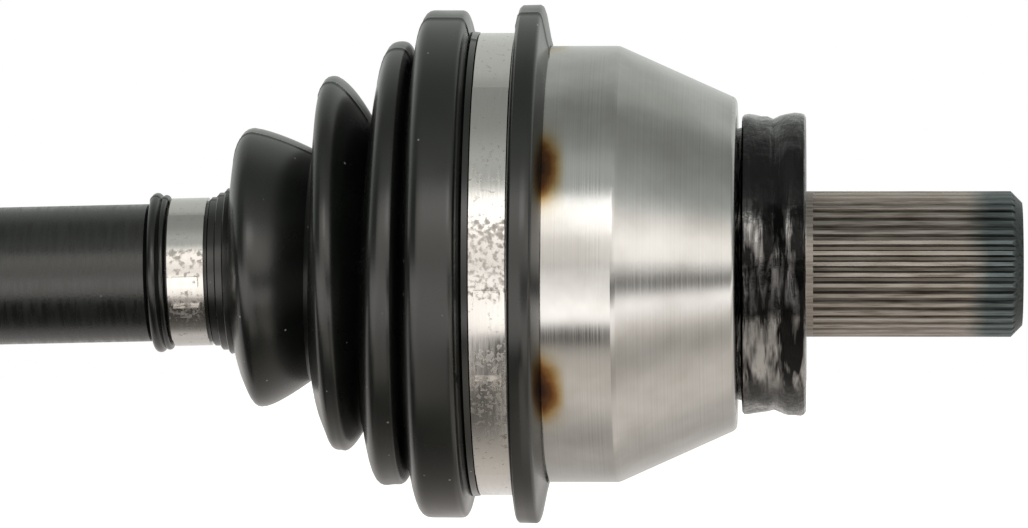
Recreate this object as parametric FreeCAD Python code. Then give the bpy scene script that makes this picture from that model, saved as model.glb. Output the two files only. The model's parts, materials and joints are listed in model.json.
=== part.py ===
import FreeCAD, Part
import math
import os

# Drive shaft of a car: a ball joint at the wheel end, a bar, and a sliding tripod joint at the gearbox end.
# Millimetres. The origin is the centre of the hub shoulder face, +X points out of the wheel end, +Z is up.

Vector = FreeCAD.Vector
AXIS_X = Vector(1, 0, 0)
AXIS_Y = Vector(0, 1, 0)
ORIGIN = Vector(0, 0, 0)

# Layout: the bar's length is taken between the joint centres
BAR_LENGTH = 360.0
BAR_DROOP_DEG = 1.25
JOINT_CENTRE_SETBACK = 0.3

# How far a cutter passes the face it cuts, and how near two sizes must be to count as one
OVERCUT = 1.0
NEAR = 1e-6

# Wheel stub
STUB_LENGTH = 47.6
WHEEL_TEETH = 42
WHEEL_MODULE = 0.75
STUB_END_CHAMFER = 2.5
HUB_BOLT_RADIUS = 6.2
HUB_BOLT_DEPTH = 36.0
HUB_BOLT_COUNTERSINK = 1.2
DRILL_TIP_SLOPE = 0.6

# Splines, as shares of the module
SPLINE_ROOT_DEPTH = 0.55
SPLINE_PRESSURE_DEG = 30.0
SPLINE_RUNOUT = 1.5
SPLINE_SIDE_GAP = 0.04

# Seal ring behind the hub shoulder
SEAL_RING_WIDTH = 13.9
SEAL_RING_SETBACK = 0.3
SEAL_RING_RADIUS = 33.5
SEAL_RING_DEPTH = 7.5
SEAL_RING_NECK_DROP = 3.3
SEAL_RING_EDGE_DROP = 0.3
SEAL_RING_SLOPE_DROP = 0.6
SEAL_RING_SLOPE_HALF = 1.2
SEAL_RING_GROOVE = 1.1
SEAL_RING_GROOVE_HALF = 0.4
SEAL_RING_CROWN_START = 3.0
SEAL_RING_ROUNDING = 0.4
SHOULDER_GAP = 1.1

# Bell of the wheel joint
CONE_END_RADIUS = 36.7
CONE_END_ROUNDING = 1.6
CONE_START_ROUNDING = 2.6
CONE_LENGTH = 26.0
BELL_BAND_LENGTH = 15.4
BOOT_SEAT_STEP = 1.1
BOOT_SEAT_LENGTH = 21.3
BELL_WALL = 6.1
MOUTH_ROUNDING = 1.2

# Ball joint
WHEEL_TILT_DEG = 45.0
BALL_COUNT = 6
BALL_RADIUS = 8.73
BALL_PITCH_RADIUS = 32.02
TRACK_FLOOR_GAP = 0.45
TRACK_SIDE_GAP = 1.35
TRACK_RUNOUT_DEG = 3.0
TRACK_MOUTH_DEG = 25.0
RACE_TRACK_DEG = 60.0
CAGE_OUTSIDE = 3.5
CAGE_INSIDE = 2.6
CAGE_HALF_WIDTH = 13.2
RACE_HALF_WIDTH = 12.0
RACE_WALL = 10.79
WINDOW_SIDE_GAP = 1.4
WINDOW_ROUNDING = 2.2
SLIDING_GAP = 0.05
SWING_GAP = 0.8

# Bar
BAR_RADIUS = 15.3
BAR_WHEEL_TEETH = 24
BAR_GEARBOX_TEETH = 20
BAR_SHOULDER_CHAMFER = 0.8
NECK_STEP_HEIGHT = 0.5
NECK_TAPER = 12.0
STOP_COLLAR_HEIGHT = 1.1
STOP_COLLAR_WIDTH = 3.0
STOP_COLLAR_SLOPE = 2.0
GEARBOX_STOP_HEIGHT = 1.6
SHAFT_END_LENGTH = 4.0
SHAFT_END_CHAMFER = 1.0
COLLAR_END_GAP = 0.3
CLIP_WIDTH = 1.2
CLIP_DEPTH = 1.2
CLIP_HEIGHT = 2.3
CLIP_GAP_DEG = 25.0

# Wheel boot: the cuffs, then the folds from the bar to the bell
BOOT_WALL = 2.5
COLLAR_SEAT_RADIUS = 13.2
COLLAR_WALL = 2.4
COLLAR_BEAD_WIDTH = 4.0
COLLAR_BEAD_HEIGHT = 2.1
COLLAR_ROUNDING = 0.3
CLAMP_SIDE_GAP = 0.35
SMALL_CLAMP_WIDTH = 8.0
STEP_COUNT = 3
STEP_WIDTH = 1.75
STEP_RISE = 0.85
CUFF_WALL = 3.2
CUFF_LIP = 1.8
END_RING_HEIGHT = 10.3
END_RING_WIDTH = 7.2
END_RING_BEVEL = 1.8
END_RING_BEVEL_FOOT = 0.6
END_RING_WALL_SLOPE = 1.0
END_RING_CREST_DROP = 0.4
LARGE_CLAMP_WIDTH = 7.8
FOLD_ROUNDING = 2.4
FOLD_ROUNDING_INSIDE = 1.4
FOLD_GAP = 0.8
FOLD_WIDTHS = [17.6, 9.8, 10.6, 14.2]
FOLD_RISE_LENGTHS = [3.0, 2.6, 4.8, 3.2]
FOLD_FALL_LENGTHS = [9.6, 3.2, 1.6, 3.6]
CREST_ABOVE_SEAT = [-16.5, -5.8, 1.9, 8.9]
VALLEY_BELOW_SEAT = [21.2, 10.7, 1.7]

# Clamps: a band, its overlapping tail and two hooks
CLAMP_THICKNESS = 0.8
TAIL_THICKNESS = 0.56
TAIL_DEG = 110.0
TAIL_START_DEG = 27.5
TAIL_CORNERS = 3
HOOK_DEGS = (60.5, 82.5)
HOOK_WIDTH = 2.4
HOOK_LENGTH_SHARE = 0.7
HOOK_SINK = 0.32
HOOK_HEIGHT = 1.6

# Tripod joint at the gearbox end
GEARBOX_TILT_DEG = 18.0
PLUNGE = 18.0
TRUNNION_COUNT = 3
TRUNNION_PITCH_RADIUS = 24.0
TRUNNION_HEAD_RADIUS = 9.2
TRUNNION_NECK_RADIUS = 7.0
TRUNNION_HEAD_GAP = 0.6
TRUNNION_HEAD_TOP = 3.4
TRUNNION_HEAD_FOOT = 5.8
FIRST_TRUNNION_DEG = -90.0
SPIDER_HUB_GAP = 2.5
SPIDER_WALL = 5.5
SPIDER_HALF_WIDTH = 11.0
SPIDER_CHAMFER = 3.0
ROLLER_RADIUS = 17.0
ROLLER_HALF_WIDTH = 5.5
ROLLER_CROWN = 0.8
ROLLER_LIP = 1.3
ROLLER_LIP_WIDTH = 0.7
RING_WALL = 1.8
RING_HALF_WIDTH = 4.9
NEEDLE_RADIUS = 1.0
NEEDLE_COUNT = 18
NEEDLE_GAP = 0.03
NEEDLE_END_GAP = 0.1
TRACK_GAP = 0.15
SLOT_FLOOR_GAP = 0.5

# Tulip housing
TULIP_WALL = 8.5
TULIP_BORE_STEP = 0.5
TULIP_END_GAP = 1.4
TULIP_FLOOR = 13.0
SLOT_ROUNDING = 1.0
SCALLOP_RADIUS = 22.0
SCALLOP_DEPTH = 7.0
SCALLOP_SETBACK = 4.0
FIRST_SCALLOP_DEG = -30.0
TULIP_BACK_SLOPE_LENGTH = 9.0
TULIP_BACK_SLOPE_DEPTH = 13.0
TULIP_RIM_CHAMFER = 1.0
TULIP_CUFF_WIDTH = 14.0
TULIP_GROOVE_WIDTH = 3.0
TULIP_GROOVE_DEPTH = 0.9
JOURNAL_RADIUS = 17.5
JOURNAL_LENGTH = 20.0
JOURNAL_CHAMFER = 1.0
JOURNAL_STEP_HEIGHT = 2.5
JOURNAL_STEP_LENGTH = 4.0
GEARBOX_TEETH = 27
GEARBOX_MODULE = 1.0
GEARBOX_SPLINE_LENGTH = 43.0
GEARBOX_END_CHAMFER = 1.5
SNAP_RING_SETBACK = 7.0
SNAP_RING_HEIGHT = 1.6

# Gearbox boot
GEARBOX_CUFF_WALL = 2.8
GEARBOX_FOLDS = 4
GEARBOX_FOLD_PITCH = 12.5
GEARBOX_FIRST_FOLD = 4.0
GEARBOX_CREST_RISE = 7.5
GEARBOX_SEAT_RADIUS = 13.0
GEARBOX_COLLAR_WIDTH = 15.0
GEARBOX_FOLD_ROUNDING = 1.4
GEARBOX_FOLD_ROUNDING_INSIDE = 1.0
CREST_SHARE = 0.42
FALL_SHARE = 0.62
VALLEY_SHARE = 0.8

# Lengths and radii that follow from the sizes above
boss_radius = SEAL_RING_RADIUS - SEAL_RING_DEPTH
cone_end_x = -(SEAL_RING_SETBACK + SEAL_RING_WIDTH + SHOULDER_GAP)
cone_start_x = cone_end_x - CONE_LENGTH
seat_x = cone_start_x - BELL_BAND_LENGTH
mouth_x = seat_x - BOOT_SEAT_LENGTH
seat_radius = BALL_PITCH_RADIUS + BALL_RADIUS + TRACK_FLOOR_GAP + BELL_WALL
bell_radius = seat_radius + BOOT_SEAT_STEP
centre_x = seat_x - JOINT_CENTRE_SETBACK
cage_outer = BALL_PITCH_RADIUS + CAGE_OUTSIDE
cage_inner = BALL_PITCH_RADIUS - CAGE_INSIDE
wheel_spline_radius = BALL_PITCH_RADIUS - BALL_RADIUS - RACE_WALL
wheel_neck_radius = wheel_spline_radius - NECK_STEP_HEIGHT
spider_hub_radius = TRUNNION_PITCH_RADIUS - ROLLER_HALF_WIDTH - SPIDER_HUB_GAP
gearbox_spline_radius = spider_hub_radius - SPIDER_WALL
gearbox_neck_radius = gearbox_spline_radius + NECK_STEP_HEIGHT
slot_floor = TRUNNION_PITCH_RADIUS + ROLLER_HALF_WIDTH + SLOT_FLOOR_GAP
tulip_radius = slot_floor + TULIP_WALL
tulip_bore_radius = TRUNNION_PITCH_RADIUS - TULIP_BORE_STEP
full_wheel_tilt = math.radians(WHEEL_TILT_DEG + BAR_DROOP_DEG)
gearbox_tilt = math.radians(GEARBOX_TILT_DEG)
wheel_centre = Vector(centre_x, 0, 0)
cuff_radius = seat_radius + CUFF_WALL
large_clamp_x = seat_x - END_RING_WIDTH - CLAMP_SIDE_GAP - LARGE_CLAMP_WIDTH / 2
folds_end_x = large_clamp_x - LARGE_CLAMP_WIDTH / 2 - CLAMP_SIDE_GAP
folds_start_x = folds_end_x - sum(FOLD_WIDTHS) - FOLD_GAP * (len(FOLD_WIDTHS) - 1)
collar_clamp_radius = COLLAR_SEAT_RADIUS + COLLAR_WALL
collar_steps_radius = collar_clamp_radius + STEP_COUNT * STEP_RISE
collar_steps_end = centre_x - folds_start_x
collar_bead_start = collar_steps_end + STEP_COUNT * STEP_WIDTH + SMALL_CLAMP_WIDTH + 2 * CLAMP_SIDE_GAP
collar_end = collar_bead_start + COLLAR_BEAD_WIDTH


def revolved(edges):
    """A solid of revolution about X from edges that close on themselves or on the axis."""
    face = Part.Face(Part.Wire(edges))
    return face.revolve(ORIGIN, AXIS_X, 360)


def flat_points(points):
    return [Vector(x, 0, r) for x, r in points]


def rounded_edges(points, radius):
    """Lines through an open run of points, with every inner corner rounded as far as its lines allow."""
    edges = []
    here = points[0]
    for before, corner, after in zip(points, points[1:], points[2:]):
        back = before - corner
        ahead = after - corner
        half = back.getAngle(ahead) / 2
        if half > math.radians(89) or radius <= 0:
            edges.append(Part.LineSegment(here, corner).toShape())
            here = corner
            continue
        reach = min(radius / math.tan(half), 0.45 * back.Length, 0.45 * ahead.Length)
        back.normalize()
        ahead.normalize()
        start = corner + back * reach
        end = corner + ahead * reach
        depth = reach * (1 / math.cos(half) - math.tan(half))
        middle = corner + (back + ahead).normalize() * depth
        edges.append(Part.LineSegment(here, start).toShape())
        edges.append(Part.Arc(start, middle, end).toShape())
        here = end
    edges.append(Part.LineSegment(here, points[-1]).toShape())
    return edges


def turned(points, radius=0.0):
    """A turned solid: the run of (x, r) points is rounded and closed along the axis."""
    run = flat_points(points)
    edges = rounded_edges(run, radius)
    first = Vector(run[0].x, 0, 0)
    last = Vector(run[-1].x, 0, 0)
    if run[-1].z > 0:
        edges.append(Part.LineSegment(run[-1], last).toShape())
    edges.append(Part.LineSegment(last, first).toShape())
    if run[0].z > 0:
        edges.append(Part.LineSegment(first, run[0]).toShape())
    return revolved(edges)


def ring(x_low, x_high, inner, outer):
    points = flat_points([(x_low, inner), (x_high, inner), (x_high, outer), (x_low, outer), (x_low, inner)])
    return revolved(Part.makePolygon(points).Edges)


def around_x(shape, degrees):
    copy = shape.copy()
    copy.rotate(ORIGIN, AXIS_X, degrees)
    return copy


def around_all(shape, count, start=0.0):
    return [around_x(shape, start + k * 360.0 / count) for k in range(count)]


def moved(shape, x):
    copy = shape.copy()
    copy.translate(Vector(x, 0, 0))
    return copy


def spline_grooves(teeth, module, x_low, x_high, gap=0.0):
    """The spaces between straight-sided teeth, as prisms to cut from a stub, or narrower by a gap."""
    pitch = teeth * module / 2
    tip = pitch + module / 2
    root = pitch - SPLINE_ROOT_DEPTH * module + gap
    middle_half = math.pi * module / 4 - gap
    slope = math.tan(math.radians(SPLINE_PRESSURE_DEG))
    outside = tip + module
    outside_half = middle_half + (outside - pitch) * slope
    root_half = middle_half - (pitch - root) * slope
    corners = [(-outside_half, outside), (outside_half, outside), (root_half, root), (-root_half, root)]
    points = [Vector(x_low, y, z) for y, z in corners]
    face = Part.Face(Part.makePolygon(points + points[:1]))
    return around_all(face.extrude(Vector(x_high - x_low, 0, 0)), teeth)


def spline_tip_radius(teeth, module):
    return (teeth + 1) * module / 2


def bar_spline_grooves(teeth, tip, x_low, x_high, gap=0.0):
    """The grooves of a toothed bar end, whose module follows from its tip radius."""
    module = 2 * tip / (teeth + 1)
    return spline_grooves(teeth, module, x_low, x_high, gap)


def splined_bore(teeth, tip, half_length):
    """What a hub's toothed bore leaves open for the bar end that it sits on."""
    low = -half_length - OVERCUT
    high = half_length + OVERCUT
    plain = Part.makeCylinder(tip, high - low, Vector(low, 0, 0), AXIS_X)
    return plain.cut(bar_spline_grooves(teeth, tip, low - OVERCUT, high + OVERCUT, SPLINE_SIDE_GAP))


def split_ring(x_low, x_high, inner, outer, gap_deg):
    """A flat spring ring with a gap at the top."""
    whole = ring(x_low, x_high, inner, outer)
    half_gap = math.radians(gap_deg / 2)
    reach = outer * 2
    side = reach * math.tan(half_gap)
    start = x_low - OVERCUT
    corners = [Vector(start, 0, 0), Vector(start, side, reach), Vector(start, -side, reach)]
    side_face = Part.Face(Part.makePolygon(corners + corners[:1]))
    return whole.cut(side_face.extrude(Vector(x_high + OVERCUT - start, 0, 0)))


def ball_track(low_deg, high_deg):
    """The room that one ball sweeps: an ellipse swung about the joint centre, at the top of the joint."""
    centre = Vector(0, 0, BALL_PITCH_RADIUS)
    side = Vector(0, BALL_RADIUS + TRACK_SIDE_GAP, BALL_PITCH_RADIUS)
    top = Vector(0, 0, BALL_PITCH_RADIUS + BALL_RADIUS + TRACK_FLOOR_GAP)
    face = Part.Face(Part.Wire(Part.Ellipse(side, top, centre).toShape()))
    face.rotate(ORIGIN, AXIS_Y, low_deg)
    return face.revolve(ORIGIN, AXIS_Y, high_deg - low_deg)


def wheel_bell():
    tip = spline_tip_radius(WHEEL_TEETH, WHEEL_MODULE)
    outside = [
        (STUB_LENGTH, 0),
        (STUB_LENGTH, tip - STUB_END_CHAMFER),
        (STUB_LENGTH - STUB_END_CHAMFER, tip),
        (0, tip),
        (0, boss_radius),
        (cone_end_x, boss_radius),
        (cone_end_x, CONE_END_RADIUS),
        (cone_start_x, bell_radius),
        (seat_x, bell_radius),
        (seat_x, seat_radius),
        (mouth_x, seat_radius),
    ]
    body = turned(outside)
    body = rounded_rim(body, cone_end_x, CONE_END_RADIUS, CONE_END_ROUNDING)
    body = rounded_rim(body, cone_start_x, bell_radius, CONE_START_ROUNDING)
    body = rounded_rim(body, mouth_x, seat_radius, MOUTH_ROUNDING)
    mouth_depth = centre_x - mouth_x
    swing = [
        (0, wheel_neck_radius / math.cos(full_wheel_tilt) + SWING_GAP),
        (-mouth_depth * 2, mouth_depth * 2 * math.tan(full_wheel_tilt)
            + wheel_neck_radius / math.cos(full_wheel_tilt) + SWING_GAP),
    ]
    cuts = [moved(turned(swing), centre_x)]
    cuts.append(Part.makeSphere(cage_outer + SLIDING_GAP, wheel_centre))
    ball_half_deg = math.degrees(math.asin(BALL_RADIUS / BALL_PITCH_RADIUS))
    track_end = WHEEL_TILT_DEG / 2 + ball_half_deg + TRACK_RUNOUT_DEG
    track = ball_track(-track_end - TRACK_MOUTH_DEG, track_end)
    cuts += [moved(t, centre_x) for t in around_all(track, BALL_COUNT)]
    bolt_hole = [
        (STUB_LENGTH + OVERCUT, HUB_BOLT_RADIUS + HUB_BOLT_COUNTERSINK + OVERCUT),
        (STUB_LENGTH - HUB_BOLT_COUNTERSINK, HUB_BOLT_RADIUS),
        (STUB_LENGTH - HUB_BOLT_DEPTH, HUB_BOLT_RADIUS),
        (STUB_LENGTH - HUB_BOLT_DEPTH - HUB_BOLT_RADIUS * DRILL_TIP_SLOPE, 0),
    ]
    cuts.append(turned(bolt_hole))
    cuts += spline_grooves(WHEEL_TEETH, WHEEL_MODULE, SPLINE_RUNOUT, STUB_LENGTH + OVERCUT)
    return body.cut(cuts)


def rounded_rim(body, x, radius, rounding):
    """Rounds the outer rim of a turned body at the given place."""
    rims = []
    for edge in body.Edges:
        if isinstance(edge.Curve, Part.Circle) and abs(edge.Curve.Radius - radius) < NEAR:
            if abs(edge.Curve.Center.x - x) < NEAR:
                rims.append(edge)
    return body.makeFillet(rounding, rims)


def seal_ring():
    back = -(SEAL_RING_SETBACK + SEAL_RING_WIDTH)
    front = -SEAL_RING_SETBACK
    middle = (back + front) / 2
    outside = [
        (cone_end_x, boss_radius),
        (cone_end_x, SEAL_RING_RADIUS - SEAL_RING_NECK_DROP),
        (back, SEAL_RING_RADIUS - SEAL_RING_NECK_DROP),
        (back, SEAL_RING_RADIUS - SEAL_RING_EDGE_DROP),
        (middle - SEAL_RING_SLOPE_HALF, SEAL_RING_RADIUS - SEAL_RING_SLOPE_DROP),
        (middle - SEAL_RING_GROOVE_HALF, SEAL_RING_RADIUS - SEAL_RING_GROOVE),
        (middle + SEAL_RING_GROOVE_HALF, SEAL_RING_RADIUS - SEAL_RING_GROOVE),
        (middle + SEAL_RING_SLOPE_HALF, SEAL_RING_RADIUS - SEAL_RING_SLOPE_DROP),
        (middle + SEAL_RING_CROWN_START, SEAL_RING_RADIUS),
        (front, SEAL_RING_RADIUS),
        (front, boss_radius),
    ]
    run = flat_points(outside)
    edges = rounded_edges(run, SEAL_RING_ROUNDING)
    edges.append(Part.LineSegment(run[-1], run[0]).toShape())
    return revolved(edges)


def ball_cage():
    shell = Part.makeSphere(cage_outer).cut(Part.makeSphere(cage_inner + SLIDING_GAP))
    belt = ring(-CAGE_HALF_WIDTH, CAGE_HALF_WIDTH, cage_inner / 2, cage_outer + OVERCUT)
    shell = shell.common(belt)
    half_length = BALL_RADIUS + SLIDING_GAP / 2
    half_width = BALL_RADIUS + WINDOW_SIDE_GAP
    window = Part.makeBox(2 * half_length, 2 * half_width, 2 * CAGE_OUTSIDE + 2 * CAGE_INSIDE + BALL_RADIUS)
    window.translate(Vector(-half_length, -half_width, cage_inner - CAGE_INSIDE - BALL_RADIUS / 2))
    corners = [e for e in window.Edges if abs(e.tangentAt(e.FirstParameter).z) > 1 - NEAR]
    window = window.makeFillet(WINDOW_ROUNDING, corners)
    return shell.cut(around_all(window, BALL_COUNT))


def inner_race():
    ball = Part.makeSphere(cage_inner)
    belt = ring(-RACE_HALF_WIDTH, RACE_HALF_WIDTH, 0, cage_inner + OVERCUT)
    track = ball_track(-RACE_TRACK_DEG, RACE_TRACK_DEG)
    bore = splined_bore(BAR_WHEEL_TEETH, wheel_spline_radius, RACE_HALF_WIDTH)
    return ball.common(belt).cut(around_all(track, BALL_COUNT)).cut(bore)


def shaft_bar():
    """Along its own axis, from the wheel joint centre at zero towards the gearbox at minus X."""
    far = -BAR_LENGTH
    wheel_end = RACE_HALF_WIDTH + CLIP_WIDTH + SHAFT_END_LENGTH
    far_end = far - SPIDER_HALF_WIDTH - CLIP_WIDTH - SHAFT_END_LENGTH
    clip_x = RACE_HALF_WIDTH
    far_clip_x = far - SPIDER_HALF_WIDTH
    stop = wheel_spline_radius + STOP_COLLAR_HEIGHT
    far_stop = gearbox_spline_radius + GEARBOX_STOP_HEIGHT
    bar_start = -(collar_end + COLLAR_END_GAP)
    far_collar_end = far + gearbox_collar_end()
    bar_end = far_collar_end + COLLAR_END_GAP
    run = [
        (wheel_end, 0),
        (wheel_end, wheel_spline_radius - SHAFT_END_CHAMFER),
        (wheel_end - SHAFT_END_CHAMFER, wheel_spline_radius),
        (clip_x + CLIP_WIDTH, wheel_spline_radius),
        (clip_x + CLIP_WIDTH, wheel_spline_radius - CLIP_DEPTH),
        (clip_x, wheel_spline_radius - CLIP_DEPTH),
        (clip_x, wheel_spline_radius),
        (-RACE_HALF_WIDTH, wheel_spline_radius),
        (-RACE_HALF_WIDTH, stop),
        (-RACE_HALF_WIDTH - STOP_COLLAR_WIDTH, stop),
        (-RACE_HALF_WIDTH - STOP_COLLAR_WIDTH - STOP_COLLAR_SLOPE, wheel_neck_radius),
        (-collar_steps_end + NECK_TAPER, wheel_neck_radius),
        (-collar_steps_end, COLLAR_SEAT_RADIUS),
        (bar_start, COLLAR_SEAT_RADIUS),
        (bar_start, BAR_RADIUS - BAR_SHOULDER_CHAMFER),
        (bar_start - BAR_SHOULDER_CHAMFER, BAR_RADIUS),
        (bar_end + BAR_SHOULDER_CHAMFER, BAR_RADIUS),
        (bar_end, BAR_RADIUS - BAR_SHOULDER_CHAMFER),
        (bar_end, GEARBOX_SEAT_RADIUS),
        (far_collar_end - GEARBOX_COLLAR_WIDTH, GEARBOX_SEAT_RADIUS),
        (far_collar_end - GEARBOX_COLLAR_WIDTH - NECK_TAPER, gearbox_neck_radius),
        (far + SPIDER_HALF_WIDTH + STOP_COLLAR_WIDTH + STOP_COLLAR_SLOPE, gearbox_neck_radius),
        (far + SPIDER_HALF_WIDTH + STOP_COLLAR_WIDTH, far_stop),
        (far + SPIDER_HALF_WIDTH, far_stop),
        (far + SPIDER_HALF_WIDTH, gearbox_spline_radius),
        (far_clip_x, gearbox_spline_radius),
        (far_clip_x, gearbox_spline_radius - CLIP_DEPTH),
        (far_clip_x - CLIP_WIDTH, gearbox_spline_radius - CLIP_DEPTH),
        (far_clip_x - CLIP_WIDTH, gearbox_spline_radius),
        (far_end + SHAFT_END_CHAMFER, gearbox_spline_radius),
        (far_end, gearbox_spline_radius - SHAFT_END_CHAMFER),
        (far_end, 0),
    ]
    wheel_grooves = bar_spline_grooves(
        BAR_WHEEL_TEETH, wheel_spline_radius, -RACE_HALF_WIDTH, wheel_end + OVERCUT)
    gearbox_grooves = bar_spline_grooves(
        BAR_GEARBOX_TEETH, gearbox_spline_radius, far_end - OVERCUT, far + SPIDER_HALF_WIDTH)
    return turned(run).cut(wheel_grooves + gearbox_grooves)


def band_clamp(x_middle, width, inner):
    """A flat band whose free end lies over it for a third of a turn, held by two small hooks."""
    low = x_middle - width / 2
    high = x_middle + width / 2
    outer = inner + CLAMP_THICKNESS
    band = ring(low, high, inner, outer)
    tail = ring(low, high, outer, outer + TAIL_THICKNESS)
    reach = outer * 2
    start = low - OVERCUT
    fan = [Vector(start, 0, 0)]
    for step in range(TAIL_CORNERS + 1):
        angle = math.radians(-TAIL_START_DEG - step * TAIL_DEG / TAIL_CORNERS)
        fan.append(Vector(start, reach * math.sin(angle), -reach * math.cos(angle)))
    fan_face = Part.Face(Part.makePolygon(fan + fan[:1]))
    sector = fan_face.extrude(Vector(high + OVERCUT - start, 0, 0))
    hook_length = width * HOOK_LENGTH_SHARE
    hook = Part.makeBox(hook_length, HOOK_WIDTH, HOOK_HEIGHT)
    hook.translate(Vector(x_middle - hook_length / 2, -HOOK_WIDTH / 2, outer + HOOK_SINK))
    hooks = [around_x(hook, 180 - angle) for angle in HOOK_DEGS]
    tail = tail.common(sector)
    return band.fuse([tail] + hooks).removeSplitter()


def inward(points, distance):
    """The same run moved towards the axis side by a wall: mitred inside folds, bevelled in valleys."""
    moved_points = []
    normals = []
    for a, b in zip(points, points[1:]):
        step = b - a
        normal = Vector(step.z, 0, -step.x)
        normals.append(normal.normalize())
    moved_points.append(points[0] + normals[0] * distance)
    for k in range(1, len(points) - 1):
        before = normals[k - 1]
        after = normals[k]
        turn = before.cross(after).y
        if turn > 0:
            total = before + after
            moved_points.append(points[k] + total * (distance / (1 + before.dot(after))))
        else:
            moved_points.append(points[k] + before * distance)
            moved_points.append(points[k] + after * distance)
    moved_points.append(points[-1] + normals[-1] * distance)
    return moved_points


def revolved_run(points, radius):
    """A solid between the axis and a rounded run of points."""
    return turned([(p.x, p.z) for p in points], radius)


def wheel_fold_run():
    """The outside of the folds, from the collar to the large clamp, each higher than the one before."""
    valleys = [collar_steps_radius] + [seat_radius - drop for drop in VALLEY_BELOW_SEAT] + [cuff_radius]
    points = []
    start = folds_start_x
    for k, width in enumerate(FOLD_WIDTHS):
        crest = seat_radius + CREST_ABOVE_SEAT[k]
        end = start + width
        points.append(Vector(start, 0, valleys[k]))
        points.append(Vector(start + FOLD_RISE_LENGTHS[k], 0, crest))
        points.append(Vector(end - FOLD_FALL_LENGTHS[k], 0, crest))
        points.append(Vector(end, 0, valleys[k + 1]))
        start = end + FOLD_GAP
    return points


def wheel_boot():
    """Folds and a thick end ring about the bell's axis, and a collar about the bar's axis, all hollow."""
    folds = wheel_fold_run()
    ring_x = seat_x - END_RING_WIDTH
    ring_radius = seat_radius + END_RING_HEIGHT
    bellows = [Vector(folds[0].x, 0, COLLAR_SEAT_RADIUS)] + folds + [Vector(folds_end_x, 0, seat_radius)]
    cuff = [
        Vector(folds_end_x - BOOT_WALL, 0, cuff_radius),
        Vector(ring_x, 0, cuff_radius),
        Vector(ring_x + END_RING_WALL_SLOPE, 0, ring_radius - END_RING_CREST_DROP),
        Vector(ring_x + 2 * END_RING_WALL_SLOPE, 0, ring_radius),
        Vector(seat_x - END_RING_BEVEL, 0, ring_radius),
        Vector(seat_x, 0, bell_radius + END_RING_BEVEL_FOOT),
        Vector(seat_x, 0, seat_radius),
    ]
    walls = [p for p in inward(folds, BOOT_WALL) if COLLAR_SEAT_RADIUS < p.z]
    seat = [Vector(folds_end_x - BOOT_WALL / 2, 0, seat_radius), Vector(seat_x + OVERCUT, 0, seat_radius)]
    hollow = revolved_run(walls[:-1] + seat, FOLD_ROUNDING_INSIDE)
    collar, bore = wheel_collar()
    outer = revolved_run(bellows, FOLD_ROUNDING).fuse([revolved_run(cuff, COLLAR_ROUNDING), collar])
    return outer.cut([hollow, bore]).removeSplitter()


def collar_run(clamp_radius, bead_start, clamp_end):
    """The outside of a small collar: the bead at its free end, then the flat for the clamp."""
    return [
        (-bead_start - COLLAR_BEAD_WIDTH, clamp_radius + COLLAR_BEAD_HEIGHT),
        (-bead_start, clamp_radius + COLLAR_BEAD_HEIGHT),
        (-bead_start, clamp_radius),
        (-clamp_end, clamp_radius),
    ]


def wheel_collar():
    """The collar's outside and its bore, drooped with the bar."""
    steps = collar_steps_end + STEP_COUNT * STEP_WIDTH
    run = collar_run(collar_clamp_radius, collar_bead_start, steps)
    for k in range(STEP_COUNT):
        radius = collar_clamp_radius + (k + 1) * STEP_RISE
        run.append((k * STEP_WIDTH - steps, radius))
        run.append(((k + 1) * STEP_WIDTH - steps, radius))
    run.append((BOOT_WALL - collar_steps_end, collar_steps_radius))
    bore_radius = COLLAR_SEAT_RADIUS + SLIDING_GAP
    bore = turned([(-collar_end - OVERCUT, bore_radius), (2 * BOOT_WALL - collar_steps_end, bore_radius)])
    return drooped(turned(run, COLLAR_ROUNDING)), drooped(bore)


def spider():
    half = SPIDER_HALF_WIDTH
    hub = turned([
        (half, spider_hub_radius - SPIDER_CHAMFER),
        (half - SPIDER_CHAMFER, spider_hub_radius),
        (SPIDER_CHAMFER - half, spider_hub_radius),
        (-half, spider_hub_radius - SPIDER_CHAMFER),
    ])
    head = Part.makeSphere(TRUNNION_HEAD_RADIUS, Vector(0, 0, TRUNNION_PITCH_RADIUS))
    slab_low = TRUNNION_PITCH_RADIUS - TRUNNION_HEAD_FOOT
    slab_height = TRUNNION_HEAD_FOOT + TRUNNION_HEAD_TOP
    slab = Part.makeCylinder(TRUNNION_HEAD_RADIUS + OVERCUT, slab_height, Vector(0, 0, slab_low))
    neck_length = TRUNNION_PITCH_RADIUS - gearbox_spline_radius
    neck = Part.makeCylinder(TRUNNION_NECK_RADIUS, neck_length, Vector(0, 0, gearbox_spline_radius))
    trunnion = head.common(slab).fuse(neck)
    bore = splined_bore(BAR_GEARBOX_TEETH, gearbox_spline_radius, half)
    return hub.fuse(around_all(trunnion, TRUNNION_COUNT, FIRST_TRUNNION_DEG)).cut(bore).removeSplitter()


def radial_ring(low, high, inner, outer):
    """A ring about Z, centred on the trunnion's pitch radius."""
    base = Vector(0, 0, TRUNNION_PITCH_RADIUS + low)
    return Part.makeCylinder(outer, high - low, base).cut(Part.makeCylinder(inner, high - low, base))


def roller_ring():
    bore = TRUNNION_HEAD_RADIUS + TRUNNION_HEAD_GAP
    return radial_ring(-RING_HALF_WIDTH, RING_HALF_WIDTH, bore, bore + RING_WALL)


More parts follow.
